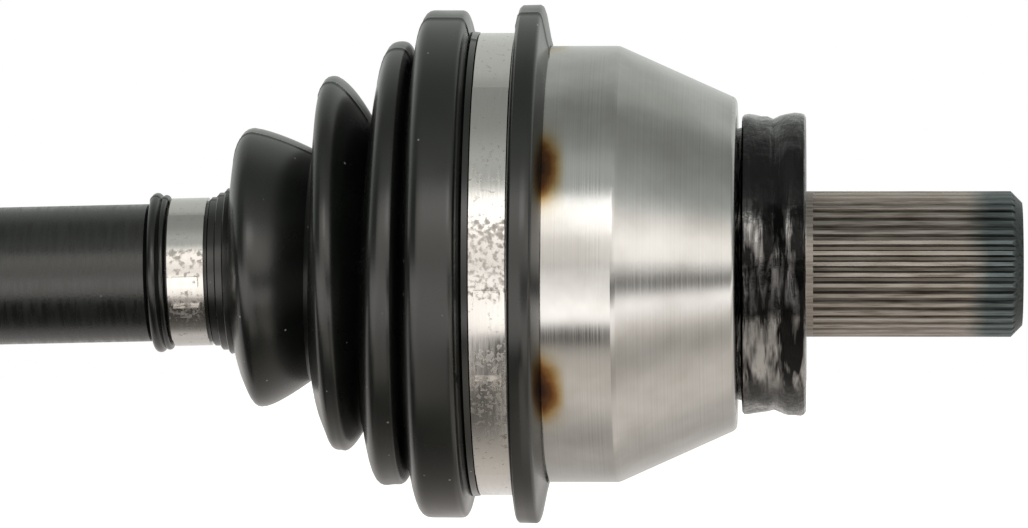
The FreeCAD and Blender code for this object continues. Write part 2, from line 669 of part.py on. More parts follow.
def needle_set():
    ring_outer = TRUNNION_HEAD_RADIUS + TRUNNION_HEAD_GAP + RING_WALL
    middle = ring_outer + NEEDLE_GAP / 2 + NEEDLE_RADIUS
    half = ROLLER_HALF_WIDTH - ROLLER_LIP_WIDTH - NEEDLE_END_GAP
    needles = []
    for k in range(NEEDLE_COUNT):
        angle = 2 * math.pi * k / NEEDLE_COUNT
        base = Vector(middle * math.cos(angle), middle * math.sin(angle), TRUNNION_PITCH_RADIUS - half)
        needles.append(Part.makeCylinder(NEEDLE_RADIUS, 2 * half, base))
    return Part.makeCompound(needles)


def roller():
    ring_outer = TRUNNION_HEAD_RADIUS + TRUNNION_HEAD_GAP + RING_WALL
    bore = ring_outer + 2 * NEEDLE_RADIUS + 2 * NEEDLE_GAP
    half = ROLLER_HALF_WIDTH
    tyre = radial_ring(-half, half, bore - ROLLER_LIP, ROLLER_RADIUS)
    circles = [e for e in tyre.Edges if isinstance(e.Curve, Part.Circle)]
    rims = [e for e in circles if abs(e.Curve.Radius - ROLLER_RADIUS) < NEAR]
    tyre = tyre.makeChamfer(ROLLER_CROWN, rims)
    race_half = half - ROLLER_LIP_WIDTH
    return tyre.cut(radial_ring(-race_half, race_half, bore - 2 * ROLLER_LIP, bore))


def tulip_mouth():
    return ROLLER_RADIUS + PLUNGE + slide_reach() + TULIP_END_GAP


def slide_reach():
    """How far the two slanted roller cassettes move along their tracks at full tilt."""
    return TRUNNION_PITCH_RADIUS * math.sin(math.radians(360 / TRUNNION_COUNT)) * gearbox_tilt


def gearbox_collar_end():
    """From the gearbox joint centre back to the end of the boot's small collar."""
    return tulip_mouth() + GEARBOX_FIRST_FOLD + GEARBOX_FOLDS * GEARBOX_FOLD_PITCH + GEARBOX_COLLAR_WIDTH


def tulip():
    """About the gearbox joint centre, with its mouth towards the wheel at plus X."""
    mouth = tulip_mouth()
    back = -mouth - TULIP_FLOOR
    tip = spline_tip_radius(GEARBOX_TEETH, GEARBOX_MODULE)
    journal_start = back - JOURNAL_STEP_LENGTH
    spline_start = journal_start - JOURNAL_LENGTH
    spline_end = spline_start - GEARBOX_SPLINE_LENGTH
    snap_x = spline_end + SNAP_RING_SETBACK
    groove = mouth - TULIP_CUFF_WIDTH / 2
    run = [
        (mouth, tulip_radius - TULIP_RIM_CHAMFER),
        (mouth - TULIP_RIM_CHAMFER, tulip_radius),
        (groove + TULIP_GROOVE_WIDTH / 2, tulip_radius),
        (groove + TULIP_GROOVE_WIDTH / 2, tulip_radius - TULIP_GROOVE_DEPTH),
        (groove - TULIP_GROOVE_WIDTH / 2, tulip_radius - TULIP_GROOVE_DEPTH),
        (groove - TULIP_GROOVE_WIDTH / 2, tulip_radius),
        (back + TULIP_BACK_SLOPE_LENGTH, tulip_radius),
        (back, tulip_radius - TULIP_BACK_SLOPE_DEPTH),
        (back, JOURNAL_RADIUS + JOURNAL_STEP_HEIGHT),
        (journal_start, JOURNAL_RADIUS + JOURNAL_STEP_HEIGHT),
        (journal_start, JOURNAL_RADIUS),
        (spline_start + JOURNAL_CHAMFER, JOURNAL_RADIUS),
        (spline_start, JOURNAL_RADIUS - JOURNAL_CHAMFER),
        (spline_start, tip),
        (snap_x + CLIP_WIDTH, tip),
        (snap_x + CLIP_WIDTH, tip - CLIP_DEPTH),
        (snap_x, tip - CLIP_DEPTH),
        (snap_x, tip),
        (spline_end + GEARBOX_END_CHAMFER, tip),
        (spline_end, tip - GEARBOX_END_CHAMFER),
        (spline_end, 0),
    ]
    body = turned(run)
    slot_half = ROLLER_RADIUS + TRACK_GAP
    profile = [Vector(-mouth, y, z) for y, z in [
        (0, 0), (slot_half, 0), (slot_half, slot_floor), (-slot_half, slot_floor), (-slot_half, 0), (0, 0)
    ]]
    depth = 2 * mouth + OVERCUT
    slot = Part.Face(Part.Wire(rounded_edges(profile, SLOT_ROUNDING))).extrude(Vector(depth, 0, 0))
    rest_reach = gearbox_neck_radius / math.cos(gearbox_tilt) + SWING_GAP
    swing_end = mouth + OVERCUT
    swing = [(-PLUNGE, rest_reach), (swing_end, rest_reach + (swing_end + PLUNGE) * math.tan(gearbox_tilt))]
    cuts = around_all(slot, TRUNNION_COUNT, FIRST_TRUNNION_DEG)
    cuts.append(Part.makeCylinder(tulip_bore_radius, depth, Vector(-mouth, 0, 0), AXIS_X))
    cuts.append(turned(swing))
    scallop_start = Vector(back - OVERCUT, 0, tulip_radius - SCALLOP_DEPTH + SCALLOP_RADIUS)
    scallop_length = mouth - TULIP_CUFF_WIDTH - SCALLOP_SETBACK - scallop_start.x
    scallop = Part.makeCylinder(SCALLOP_RADIUS, scallop_length, scallop_start, AXIS_X)
    cuts += around_all(scallop, TRUNNION_COUNT, FIRST_SCALLOP_DEG)
    groove_end = spline_start - SPLINE_RUNOUT
    cuts += spline_grooves(GEARBOX_TEETH, GEARBOX_MODULE, spline_end - OVERCUT, groove_end)
    inner = tip - CLIP_DEPTH
    snap_ring = split_ring(snap_x, snap_x + CLIP_WIDTH, inner, inner + SNAP_RING_HEIGHT, CLIP_GAP_DEG)
    return body.cut(cuts), snap_ring


def gearbox_boot():
    """Folds that shrink from the tulip's mouth to the bar, about the gearbox joint centre."""
    mouth = tulip_mouth()
    wide_radius = tulip_radius + GEARBOX_CUFF_WALL
    narrow_radius = GEARBOX_SEAT_RADIUS + COLLAR_WALL
    cuff_start = mouth - TULIP_CUFF_WIDTH
    collar_start = mouth + GEARBOX_FIRST_FOLD + GEARBOX_FOLDS * GEARBOX_FOLD_PITCH
    shrink = (wide_radius - narrow_radius - COLLAR_WALL) / GEARBOX_FOLDS
    cuff = [
        Vector(cuff_start, 0, tulip_radius),
        Vector(cuff_start, 0, wide_radius + CUFF_LIP),
        Vector(cuff_start + CUFF_LIP, 0, wide_radius + CUFF_LIP),
        Vector(cuff_start + CUFF_LIP, 0, wide_radius),
        Vector(mouth, 0, wide_radius),
    ]
    folds = [Vector(mouth - OVERCUT, 0, wide_radius)]
    for k in range(GEARBOX_FOLDS):
        start = mouth + GEARBOX_FIRST_FOLD + k * GEARBOX_FOLD_PITCH
        valley = wide_radius - (k + 1) * shrink
        crest = valley + GEARBOX_CREST_RISE
        folds.append(Vector(start, 0, crest))
        folds.append(Vector(start + GEARBOX_FOLD_PITCH * CREST_SHARE, 0, crest))
        folds.append(Vector(start + GEARBOX_FOLD_PITCH * FALL_SHARE, 0, valley))
        folds.append(Vector(start + GEARBOX_FOLD_PITCH * VALLEY_SHARE, 0, valley))
    folds.append(Vector(collar_start, 0, narrow_radius))
    folds.append(Vector(collar_start + BOOT_WALL, 0, narrow_radius))
    shell = revolved_run(folds, GEARBOX_FOLD_ROUNDING).fuse(revolved_run(cuff, COLLAR_ROUNDING))
    bead_start = gearbox_collar_end() - COLLAR_BEAD_WIDTH
    run = [(-x, r) for x, r in collar_run(narrow_radius, bead_start, collar_start)]
    collar = turned(run, COLLAR_ROUNDING)
    bore_radius = GEARBOX_SEAT_RADIUS + SLIDING_GAP
    folds_start = mouth + OVERCUT
    walls = [p for p in inward(folds, BOOT_WALL) if folds_start < p.x < collar_start and p.z > bore_radius]
    inside = [Vector(cuff_start - OVERCUT, 0, tulip_radius), Vector(folds_start, 0, tulip_radius)] + walls
    inside.append(Vector(collar_start, 0, bore_radius))
    inside.append(Vector(gearbox_collar_end() + OVERCUT, 0, bore_radius))
    hollow = revolved_run(inside, GEARBOX_FOLD_ROUNDING_INSIDE)
    groove = mouth - TULIP_CUFF_WIDTH / 2
    half = TULIP_GROOVE_WIDTH / 2
    bead = ring(groove - half, groove + half, tulip_radius - TULIP_GROOVE_DEPTH, tulip_radius + OVERCUT)
    return shell.fuse(collar).cut(hollow).fuse(bead).removeSplitter()


def drooped(shape):
    """From the bar's own frame, with the wheel joint centre at zero, to its place in the whole shaft."""
    copy = shape.copy()
    copy.rotate(ORIGIN, AXIS_Y, -BAR_DROOP_DEG)
    copy.translate(wheel_centre)
    return copy


def at_gearbox(shape):
    """From the gearbox joint's frame to its place in the whole shaft."""
    return drooped(moved(shape, -BAR_LENGTH))


def save(name, shape):
    shape.exportStep("parts/" + name + ".step")


def main():
    small_clamp_x = SMALL_CLAMP_WIDTH / 2 + CLAMP_SIDE_GAP - collar_bead_start
    save("wheel_bell", wheel_bell())
    save("seal_ring", seal_ring())
    save("wheel_boot", wheel_boot())
    save("wheel_boot_large_clamp", band_clamp(large_clamp_x, LARGE_CLAMP_WIDTH, cuff_radius))
    small_inner = collar_clamp_radius + SLIDING_GAP
    save("wheel_boot_small_clamp", drooped(band_clamp(small_clamp_x, SMALL_CLAMP_WIDTH, small_inner)))
    save("ball_cage", moved(ball_cage(), centre_x))
    ball = Part.makeSphere(BALL_RADIUS, Vector(0, 0, BALL_PITCH_RADIUS))
    for number, copy in enumerate(around_all(ball, BALL_COUNT), 1):
        save("ball_%d" % number, moved(copy, centre_x))
    save("inner_race", drooped(inner_race()))
    race_clip = split_ring(
        RACE_HALF_WIDTH,
        RACE_HALF_WIDTH + CLIP_WIDTH,
        wheel_spline_radius - CLIP_DEPTH,
        wheel_spline_radius - CLIP_DEPTH + CLIP_HEIGHT,
        CLIP_GAP_DEG,
    )
    save("race_circlip", drooped(race_clip))
    save("shaft_bar", drooped(shaft_bar()))
    save("spider", at_gearbox(spider()))
    spider_clip = split_ring(
        -SPIDER_HALF_WIDTH - CLIP_WIDTH,
        -SPIDER_HALF_WIDTH,
        gearbox_spline_radius - CLIP_DEPTH,
        gearbox_spline_radius - CLIP_DEPTH + CLIP_HEIGHT,
        CLIP_GAP_DEG,
    )
    save("spider_circlip", at_gearbox(spider_clip))
    for name, shape in (("roller_ring", roller_ring()), ("needles", needle_set()), ("roller", roller())):
        for number, copy in enumerate(around_all(shape, TRUNNION_COUNT, FIRST_TRUNNION_DEG), 1):
            save("%s_%d" % (name, number), at_gearbox(copy))
    housing, snap_ring = tulip()
    save("tulip", at_gearbox(housing))
    save("stub_snap_ring", at_gearbox(snap_ring))
    save("gearbox_boot", at_gearbox(gearbox_boot()))
    cuff_x = tulip_mouth() - TULIP_CUFF_WIDTH + CUFF_LIP + CLAMP_SIDE_GAP + LARGE_CLAMP_WIDTH / 2
    cuff_clamp = band_clamp(cuff_x, LARGE_CLAMP_WIDTH, tulip_radius + GEARBOX_CUFF_WALL)
    save("gearbox_boot_large_clamp", at_gearbox(cuff_clamp))
    collar_x = gearbox_collar_end() - COLLAR_BEAD_WIDTH - CLAMP_SIDE_GAP - SMALL_CLAMP_WIDTH / 2
    collar_inner = GEARBOX_SEAT_RADIUS + COLLAR_WALL + SLIDING_GAP
    save("gearbox_boot_small_clamp", at_gearbox(band_clamp(collar_x, SMALL_CLAMP_WIDTH, collar_inner)))


main()
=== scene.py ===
# %% [markdown]
# # A drive shaft with its joint boot
# The shaft carries the engine's turning to one wheel. A bell with a splined stub hides a ball joint, and a
# folded rubber boot keeps grease in and dirt out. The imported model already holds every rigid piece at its
# real size, so this lesson loads it, gives each surface its finish, and models the soft pieces: boots and
# grease.

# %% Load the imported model
import bmesh
import bpy
import json
import math
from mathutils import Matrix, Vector, noise


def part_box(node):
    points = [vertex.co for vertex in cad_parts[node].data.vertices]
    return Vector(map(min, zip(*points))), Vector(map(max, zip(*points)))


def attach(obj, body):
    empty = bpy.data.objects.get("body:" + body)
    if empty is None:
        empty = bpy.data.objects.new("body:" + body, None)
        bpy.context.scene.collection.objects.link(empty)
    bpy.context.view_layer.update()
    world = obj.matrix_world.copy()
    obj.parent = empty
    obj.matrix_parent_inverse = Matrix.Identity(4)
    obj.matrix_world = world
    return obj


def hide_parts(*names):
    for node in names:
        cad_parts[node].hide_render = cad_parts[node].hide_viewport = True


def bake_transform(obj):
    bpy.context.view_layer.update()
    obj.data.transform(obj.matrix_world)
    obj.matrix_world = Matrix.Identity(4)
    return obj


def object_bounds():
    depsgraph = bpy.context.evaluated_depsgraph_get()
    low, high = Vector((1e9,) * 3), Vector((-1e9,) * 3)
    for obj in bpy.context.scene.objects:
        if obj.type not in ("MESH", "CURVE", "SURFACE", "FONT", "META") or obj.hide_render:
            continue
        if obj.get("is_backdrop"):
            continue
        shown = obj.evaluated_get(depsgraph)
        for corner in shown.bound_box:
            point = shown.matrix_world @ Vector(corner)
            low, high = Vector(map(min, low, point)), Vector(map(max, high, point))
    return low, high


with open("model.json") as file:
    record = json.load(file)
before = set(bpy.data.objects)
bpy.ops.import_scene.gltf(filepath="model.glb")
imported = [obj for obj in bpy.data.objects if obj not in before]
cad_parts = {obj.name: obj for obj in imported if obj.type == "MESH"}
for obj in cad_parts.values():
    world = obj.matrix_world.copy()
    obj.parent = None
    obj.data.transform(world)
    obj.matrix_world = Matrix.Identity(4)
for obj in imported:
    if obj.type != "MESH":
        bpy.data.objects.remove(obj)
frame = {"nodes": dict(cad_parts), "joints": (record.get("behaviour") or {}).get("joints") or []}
cad_low, cad_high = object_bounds()
nodes = frame["nodes"]
joints = {joint["name"]: joint for joint in frame["joints"]}
print("pieces in the frame:", len(nodes))

# %% [markdown]
# Everything is in metres, so millimetres get one name. Both joints' centres come from the record, and the
# line between them is the bar's own axis, which droops a little below the bell's. Lengths along the boots
# are then measured from these two centres, as a maker would.

# %% Units and the two joint centres
MM = 0.001
ALONG_BELL = Vector((1, 0, 0))
wheel_centre = Vector(joints["outer_tilt"]["pos_m"])
gearbox_centre = Vector(joints["inner_tilt"]["pos_m"])
bar_line = (wheel_centre - gearbox_centre).normalized()
droop = math.atan2(bar_line.z, bar_line.x)
print("bar droops", round(math.degrees(droop), 2), "degrees")


# %% Selection helpers
def clear_selection():
    """Leaves edit mode and deselects everything."""
    if bpy.context.mode != "OBJECT":
        bpy.ops.object.mode_set(mode="OBJECT")
    bpy.ops.object.select_all(action="DESELECT")


def work_on(piece):
    """Makes one piece the only selected and active one."""
    clear_selection()
    piece.select_set(True)
    bpy.context.view_layer.objects.active = piece


def pick_vertices(piece, rule):
    """In edit mode, selects the vertices whose place fits the rule."""
    shape = bmesh.from_edit_mesh(piece.data)
    for vertex in shape.verts:
        vertex.select = rule(vertex.co)
    shape.select_flush_mode()
    bmesh.update_edit_mesh(piece.data)


# %% [markdown]
# ## Camera
# The picture was taken square on from the side, from about 1.3 m, and it only shows the wheel end. The
# camera stands where the perspective says, opposite the hub shoulder, and turns to the picture's middle.

# %% Camera
PICTURE_WIDTH = 228.4 * MM
CAMERA_DISTANCE = 1333 * MM
CAMERA_FOOT_X = 5.3 * MM
PICTURE_MIDDLE_X = -64.9 * MM
SENSOR_WIDTH = 36.0

bpy.ops.object.camera_add(location=(CAMERA_FOOT_X, -CAMERA_DISTANCE, 0))
camera = bpy.context.object
aim = Vector((PICTURE_MIDDLE_X, 0, 0)) - camera.location
camera.rotation_euler = aim.to_track_quat("-Z", "Y").to_euler()
camera.data.sensor_width = SENSOR_WIDTH
camera.data.lens = SENSOR_WIDTH * aim.length / PICTURE_WIDTH
bpy.context.scene.camera = camera
bpy.context.scene.view_settings.view_transform = "Standard"
print("lens", round(camera.data.lens, 1), "mm")


# %% [markdown]
# ## Nodes and colours
# One function turns a web colour into the linear light that shaders work in. Another adds any node, with
# its settings, its links and, on a colour ramp, its stops. Every finish below is written with these two.

# %% Node helpers
def hex_colour(code):
    """A web colour as linear red, green, blue and alpha."""
    channels = [int(code[i:i + 2], 16) / 255 for i in (1, 3, 5)]
    linear = [c / 12.92 if c <= 0.04045 else ((c + 0.055) / 1.055) ** 2.4 for c in channels]
    return (*linear, 1.0)


def add_node(tree, kind, inputs=None, stops=None, **settings):
    """Adds a node. Inputs are values or other nodes' sockets, stops are (place, colour)."""
    node = tree.nodes.new(kind)
    for name, value in settings.items():
        setattr(node, name, value)
    for socket, value in (inputs or {}).items():
        if isinstance(value, bpy.types.NodeSocket):
            tree.links.new(value, node.inputs[socket])
        else:
            node.inputs[socket].default_value = value
    if stops:
        ramp = node.color_ramp.elements
        while len(ramp) < len(stops):
            ramp.new(0.5)
        for element, (place, code) in zip(ramp, stops):
            element.position = place
            element.color = hex_colour(code) if isinstance(code, str) else code
    return node


def start_material(name, colour, metallic, roughness):
    """A material with its shader set, and its tree, shader and object coordinates for the details."""
    made = bpy.data.materials.new(name)
    made.use_nodes = True
    tree = made.node_tree
    shader = tree.nodes["Principled BSDF"]
    shader.inputs["Base Color"].default_value = hex_colour(colour)
    shader.inputs["Metallic"].default_value = metallic
    shader.inputs["Roughness"].default_value = roughness
    place = add_node(tree, "ShaderNodeTexCoord").outputs["Object"]
    print("finish:", name)
    return made, tree, shader, place


# %% [markdown]
# ## Floor, tent and light
# The shaft lies in a light tent: a pale floor, and soft white cloth all round. Metal shows little but what
# it mirrors, so the tent's brightness by angle round the shaft makes the bands on the bell: a bright panel
# in front, a dim strip above it, and a middling roof and back. The left wall stays dim, so the boot's folds
# shine only on their crests. Below the horizon the metal mirrors the floor, so the floor carries a painted
# reflection of its own: painted bands of light and shade that only mirrored rays see.

# %% Light levels
LIGHT_PEAK = 3.0


def lit(level, code="#FFFFFF"):
    """A colour at a light level, as a share of the peak."""
    return (*(channel * level / LIGHT_PEAK for channel in hex_colour(code)[:3]), 1.0)


print("light levels go up to", LIGHT_PEAK)

# %% [markdown]
# The photograph shows no contact with a table, so the shaft stands a little above the paper. That also
# keeps the stub and the boot clear of it when the wheel's joint bends to its limits.

# %% Floor
FLOOR_SIZE = 6.0
FLOOR_CUTS = 8
FLOOR_HEIGHT = -84 * MM

clear_selection()
bpy.ops.mesh.primitive_grid_add(
    x_subdivisions=FLOOR_CUTS, y_subdivisions=FLOOR_CUTS, size=FLOOR_SIZE, location=(0, 0, FLOOR_HEIGHT))
floor = bpy.context.object
floor.name = "floor"
floor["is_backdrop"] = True
print("paper", round(FLOOR_HEIGHT / MM), "mm below the axis")

# %% [markdown]
# The floor is seamless paper. The lens sees it white, with the shaft's shadow on it. A mirror sees a painted
# reflection on it instead: painted bands for the bright panel's foot far in front, a painted dark gap before
# the shaft, and painted middling shade under the shaft. The painted gap is wider under the clamps, and the
# bell's cone looks far to the right, where it lies further off. So the paper has five sets of painted bands
# from left to right, and one mixes into the next.

# %% The paper's painted reflection bands
PAINTED_BANDS_REACH = 950 * MM
WARM_PAPER = (-130, 15)
FLOOR_WARM, FLOOR_GREY = "#FFF7ED", "#FFFAF5"
# Painted reflection and painted shade: each set lists places and the light levels that mirrors see on the
# paper.
UNDER_COLLAR = [
    (-938, 1.6), (-272, 2.2), (-199, 2.0), (-130, 1.7), (-109, 1.0), (-97, 0.3), (-80, 0.06), (-30, 0.08),
    (-5, 0.2), (15, 0.8), (941, 0.9),
]
UNDER_FOLDS = [
    (-927, 1.6), (-206, 1.7), (-155, 1.5), (-133, 1.15), (-78, 1.0), (-68, 0.3), (-56, 0.15), (-43, 0.18),
    (-23, 0.4), (2, 0.6), (52, 0.8), (941, 0.9),
]
UNDER_CLAMP = [
    (-927, 1.7), (-206, 2.2), (-153, 2.0), (-150, 0.8), (-142, 0.05), (-112, 0.03), (-74, 0.1), (-43, 0.18),
    (-26, 0.5), (-4, 0.8), (51, 0.95), (941, 0.9),
]
UNDER_BELL = [
    (-933, 1.6), (-588, 1.9), (-341, 2.35), (-239, 2.6), (-174, 2.5), (-160, 1.0), (-149, 0.12), (-125, 0.08),
    (-112, 0.7), (-95, 1.05), (-74, 1.12), (-56, 1.08), (-40, 0.92), (-27, 0.62), (-15, 0.56), (-2, 0.74),
    (33, 0.68), (941, 0.85),
]
RIGHT_OF_BELL = [
    (-929, 1.1), (-744, 0.6), (-597, 0.25), (-424, 0.12), (-300, 0.14), (-255, 1.2), (-223, 2.0), (-180, 2.2),
    (-148, 1.7), (-123, 1.25), (-104, 0.88), (-89, 0.72), (-74, 0.7), (-62, 0.84), (-50, 1.0), (-35, 1.08),
    (-12, 1.02), (-2, 0.8), (67, 0.78), (941, 0.85),
]
EDGES_X = [(-130, -126), (-79, -75), (-68, -64), (-44, -36)]


def painted_reflection_stops(bands):
    """Places behind the axis in millimetres, negative in front, and the painted reflection's light levels
    become a ramp's stops.
    """
    stops = []
    for y, level in bands:
        tone = FLOOR_WARM if WARM_PAPER[0] < y < WARM_PAPER[1] else FLOOR_GREY
        stops.append(((y * MM / PAINTED_BANDS_REACH + 1) / 2, lit(level, tone)))
    return stops


print("the paper's sets of bands meet at", EDGES_X, "mm")

# %% [markdown]
# Light Path tells which kind of ray arrives. A mirrored ray meets the painted bands as glow, a painted
# reflection, and no sheet. The lens sees the white sheet, with a little glow of its own that keeps the shadow
# soft. Any other ray meets the plain white sheet.

# %% Seamless paper
PAPER_WHITE = "#F2F1EF"
PAPER_GLOW = 0.62
paper, tree, shader, place = start_material("seamless_paper", PAPER_WHITE, metallic=0.0, roughness=0.9)
axes = add_node(tree, "ShaderNodeSeparateXYZ", {0: place})
across = add_node(tree, "ShaderNodeMapRange", {"Value": axes.outputs["Y"], "From Min": -PAINTED_BANDS_REACH,
                  "From Max": PAINTED_BANDS_REACH})
bands = add_node(tree, "ShaderNodeValToRGB", {0: across.outputs[0]},
                 stops=painted_reflection_stops(UNDER_COLLAR)).outputs[0]
for levels, (low, high) in zip((UNDER_FOLDS, UNDER_CLAMP, UNDER_BELL, RIGHT_OF_BELL), EDGES_X):
    next_painted_bands = add_node(tree, "ShaderNodeValToRGB", {0: across.outputs[0]}, stops=painted_reflection_stops(levels))
    past = add_node(tree, "ShaderNodeMapRange", {"Value": axes.outputs["X"], "From Min": low * MM,
                    "From Max": high * MM})
    bands = add_node(tree, "ShaderNodeMix", {"Factor": past.outputs[0], 6: bands, 7: next_painted_bands.outputs[0]},
                     data_type="RGBA").outputs[2]
ray = add_node(tree, "ShaderNodeLightPath")
mirrored = add_node(tree, "ShaderNodeMath", {0: ray.outputs["Is Glossy Ray"],
                    1: ray.outputs["Is Transmission Ray"]}, operation="MAXIMUM")
# Painted reflection: the paper glows with the painted bands, in mirrored rays only.
painted_reflection_glow = add_node(tree, "ShaderNodeMath", {0: mirrored.outputs[0], 1: LIGHT_PEAK}, operation="MULTIPLY")
sheet = add_node(tree, "ShaderNodeMix", {"Factor": mirrored.outputs[0], 6: hex_colour(PAPER_WHITE),
                 7: hex_colour("#000000")}, data_type="RGBA")
tree.links.new(sheet.outputs[2], shader.inputs["Base Color"])
glow = add_node(tree, "ShaderNodeMath", {0: ray.outputs["Is Camera Ray"], 1: PAPER_GLOW,
                2: painted_reflection_glow.outputs[0]}, operation="MULTIPLY_ADD")
glow_colour = add_node(tree, "ShaderNodeMix", {"Factor": ray.outputs["Is Camera Ray"], 6: bands,
                       7: hex_colour("#FFFFFF")}, data_type="RGBA")
tree.links.new(glow_colour.outputs[2], shader.inputs["Emission Color"])
tree.links.new(glow.outputs[0], shader.inputs["Emission Strength"])
floor.data.materials.append(paper)

# %% [markdown]
# The tent is a ramp on the angle round the shaft, in the world. The angle is 0 towards the camera, 90
# straight up and 180 behind. To the right of the camera the panel reaches lower, so a second ramp takes
# over there. A third, on how far a direction points left or right, dims the left wall and the far right,
# but only in front.

# %% The tent's bands
TENT_WARM, TENT_COOL = "#FFF9F2", "#F8FCF6"
TENT_BANDS = [
    (0, 1.5), (9, 1.6), (18, 1.8), (24, 1.9), (31, 1.75), (36, 1.05), (41, 0.6), (52, 0.7), (60, 0.56),
    (70, 0.43), (92, 0.39), (99, 0.47), (108, 0.68), (120, 0.74), (134, 0.76), (153, 0.8), (180, 0.85),
    (359, 0.9),
]
RIGHT_BANDS = [
    (0, 2.05), (18, 2.05), (24, 1.75), (30, 1.5), (40, 0.9), (47, 0.68), (60, 0.54), (72, 0.45), (95, 0.41),
    (103, 0.5), (111, 0.75), (120, 0.83), (136, 0.85), (153, 0.92), (180, 0.95), (359, 1.0),
]
WARM_BELOW_DEG = 35
RIGHT_EDGE = (0.3, 0.55)
DIM_WALL = lit(0.3, TENT_COOL)
PANEL_SIDES = [(-0.5, 0.0), (-0.28, 1.0), (0.88, 1.0), (0.97, 0.2)]
PANEL_TOP_DEG = 60
print("tent's brightest band", max(level for _, level in TENT_BANDS + RIGHT_BANDS))

# %% [markdown]
# Arctangent turns a direction's height and depth into the angle, and the angle's share of a full turn picks
# the place on the ramps. The lens itself sees plain white behind the shaft, as in the photograph.

# %% Tent
world = bpy.data.worlds.new("light_tent")
bpy.context.scene.world = world
world.use_nodes = True
tree = world.node_tree
surface = tree.nodes["Background"]
towards = add_node(tree, "ShaderNodeTexCoord").outputs["Generated"]
axes = add_node(tree, "ShaderNodeSeparateXYZ", {0: towards})
facing = add_node(tree, "ShaderNodeMath", {0: axes.outputs["Y"], 1: -1.0}, operation="MULTIPLY")
angle = add_node(tree, "ShaderNodeMath", {0: axes.outputs["Z"], 1: facing.outputs[0]}, operation="ARCTAN2")
share = add_node(tree, "ShaderNodeMath", {0: angle.outputs[0], 1: math.tau}, operation="DIVIDE")
turn = add_node(tree, "ShaderNodeMath", {0: share.outputs[0]}, operation="FRACT")
front_bands, right_bands = (
    add_node(tree, "ShaderNodeValToRGB", {0: turn.outputs[0]},
             stops=[(degrees / 360, lit(level, TENT_WARM if degrees < WARM_BELOW_DEG else TENT_COOL))
                    for degrees, level in levels]).outputs[0]
    for levels in (TENT_BANDS, RIGHT_BANDS))
to_right = add_node(tree, "ShaderNodeMapRange", {"Value": axes.outputs["X"], "From Min": RIGHT_EDGE[0],
                    "From Max": RIGHT_EDGE[1]})
bands = add_node(tree, "ShaderNodeMix", {"Factor": to_right.outputs[0], 6: front_bands, 7: right_bands},
                 data_type="RGBA")
along = add_node(tree, "ShaderNodeMapRange", {"Value": axes.outputs["X"], "From Min": -1.0, "From Max": 1.0})
panel = add_node(tree, "ShaderNodeValToRGB", {0: along.outputs[0]},
                 stops=[((x + 1) / 2, (level, level, level, 1.0)) for x, level in PANEL_SIDES])
above = add_node(tree, "ShaderNodeMath", {0: turn.outputs[0], 1: PANEL_TOP_DEG / 360},
                 operation="GREATER_THAN")
shown = add_node(tree, "ShaderNodeMath", {0: panel.outputs[0], 1: above.outputs[0]}, operation="MAXIMUM")
walls = add_node(tree, "ShaderNodeMix", {"Factor": shown.outputs[0], 6: DIM_WALL, 7: bands.outputs[2]},
                 data_type="RGBA")
ray = add_node(tree, "ShaderNodeLightPath")
colour = add_node(tree, "ShaderNodeMix", {"Factor": ray.outputs["Is Camera Ray"], 6: walls.outputs[2],
                  7: hex_colour("#FFFFFF")}, data_type="RGBA")
strength = add_node(tree, "ShaderNodeMix", {"Factor": ray.outputs["Is Camera Ray"], 2: LIGHT_PEAK, 3: 1.0},
                    data_type="FLOAT")
tree.links.new(colour.outputs[2], surface.inputs["Color"])
tree.links.new(strength.outputs[0], surface.inputs["Strength"])
print("tent:", len(tree.nodes), "nodes")

# %% [markdown]
# The tent alone would leave the paper without a shadow. A soft box hangs in the bright panel, where its own
# mirror image is lost in the panel's, and gives the shaft a soft shadow on the paper.

# %% Key lamp
LAMP_SIZE = 0.45
LAMP_WATTS = 0.9
LAMP_PLACE = Vector((0.1, -1.15, 0.55))
LAMP_AIM = Vector((-0.1, 0, 0))
bpy.ops.object.light_add(type="AREA", location=LAMP_PLACE)
lamp = bpy.context.object
lamp.data.shape = "SQUARE"
lamp.data.size = LAMP_SIZE
lamp.data.energy = LAMP_WATTS
lamp.rotation_euler = (LAMP_AIM - LAMP_PLACE).to_track_quat("-Z", "Y").to_euler()
print("lamp", LAMP_WATTS, "W")


# %% [markdown]
# ## Finishes
# The bell is carbon steel, turned on a lathe: grooves run round it, finer than the eye sees, and they smear
# each reflection along the axis. Induction hardening heats the six ball tracks from inside, and leaves six
# brown and straw-coloured spots beside the boot.

# %% Turned steel
# Real feed marks are about 0.15 mm apart, too fine to show, so they are drawn about 0.4 mm apart.
FEED_MARK_GAP = 0.4 * MM
BLOTCH_SIZE = 14 * MM
TRACKS = 6
TRACK_TURN_DEG = 25.4
TINT_REACH = 5.5 * MM
TINT_SHARPNESS = 4.5
RAGGED_SIZE = 3 * MM
BELL_STEP_FROM_CLAMP = 7.55 * MM
ring_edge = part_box("wheel_boot_large_clamp")[1].x + BELL_STEP_FROM_CLAMP


def angle_round_axis(tree, place):
    """The angle round the bell's axis, in radians, 0 towards the front and growing upwards."""
    axes = add_node(tree, "ShaderNodeSeparateXYZ", {0: place})
    facing = add_node(tree, "ShaderNodeMath", {0: axes.outputs["Y"], 1: -1.0}, operation="MULTIPLY")
    turned = add_node(tree, "ShaderNodeMath", {0: axes.outputs["Z"], 1: facing.outputs[0]},
                      operation="ARCTAN2")
    return turned.outputs[0], axes.outputs["X"]


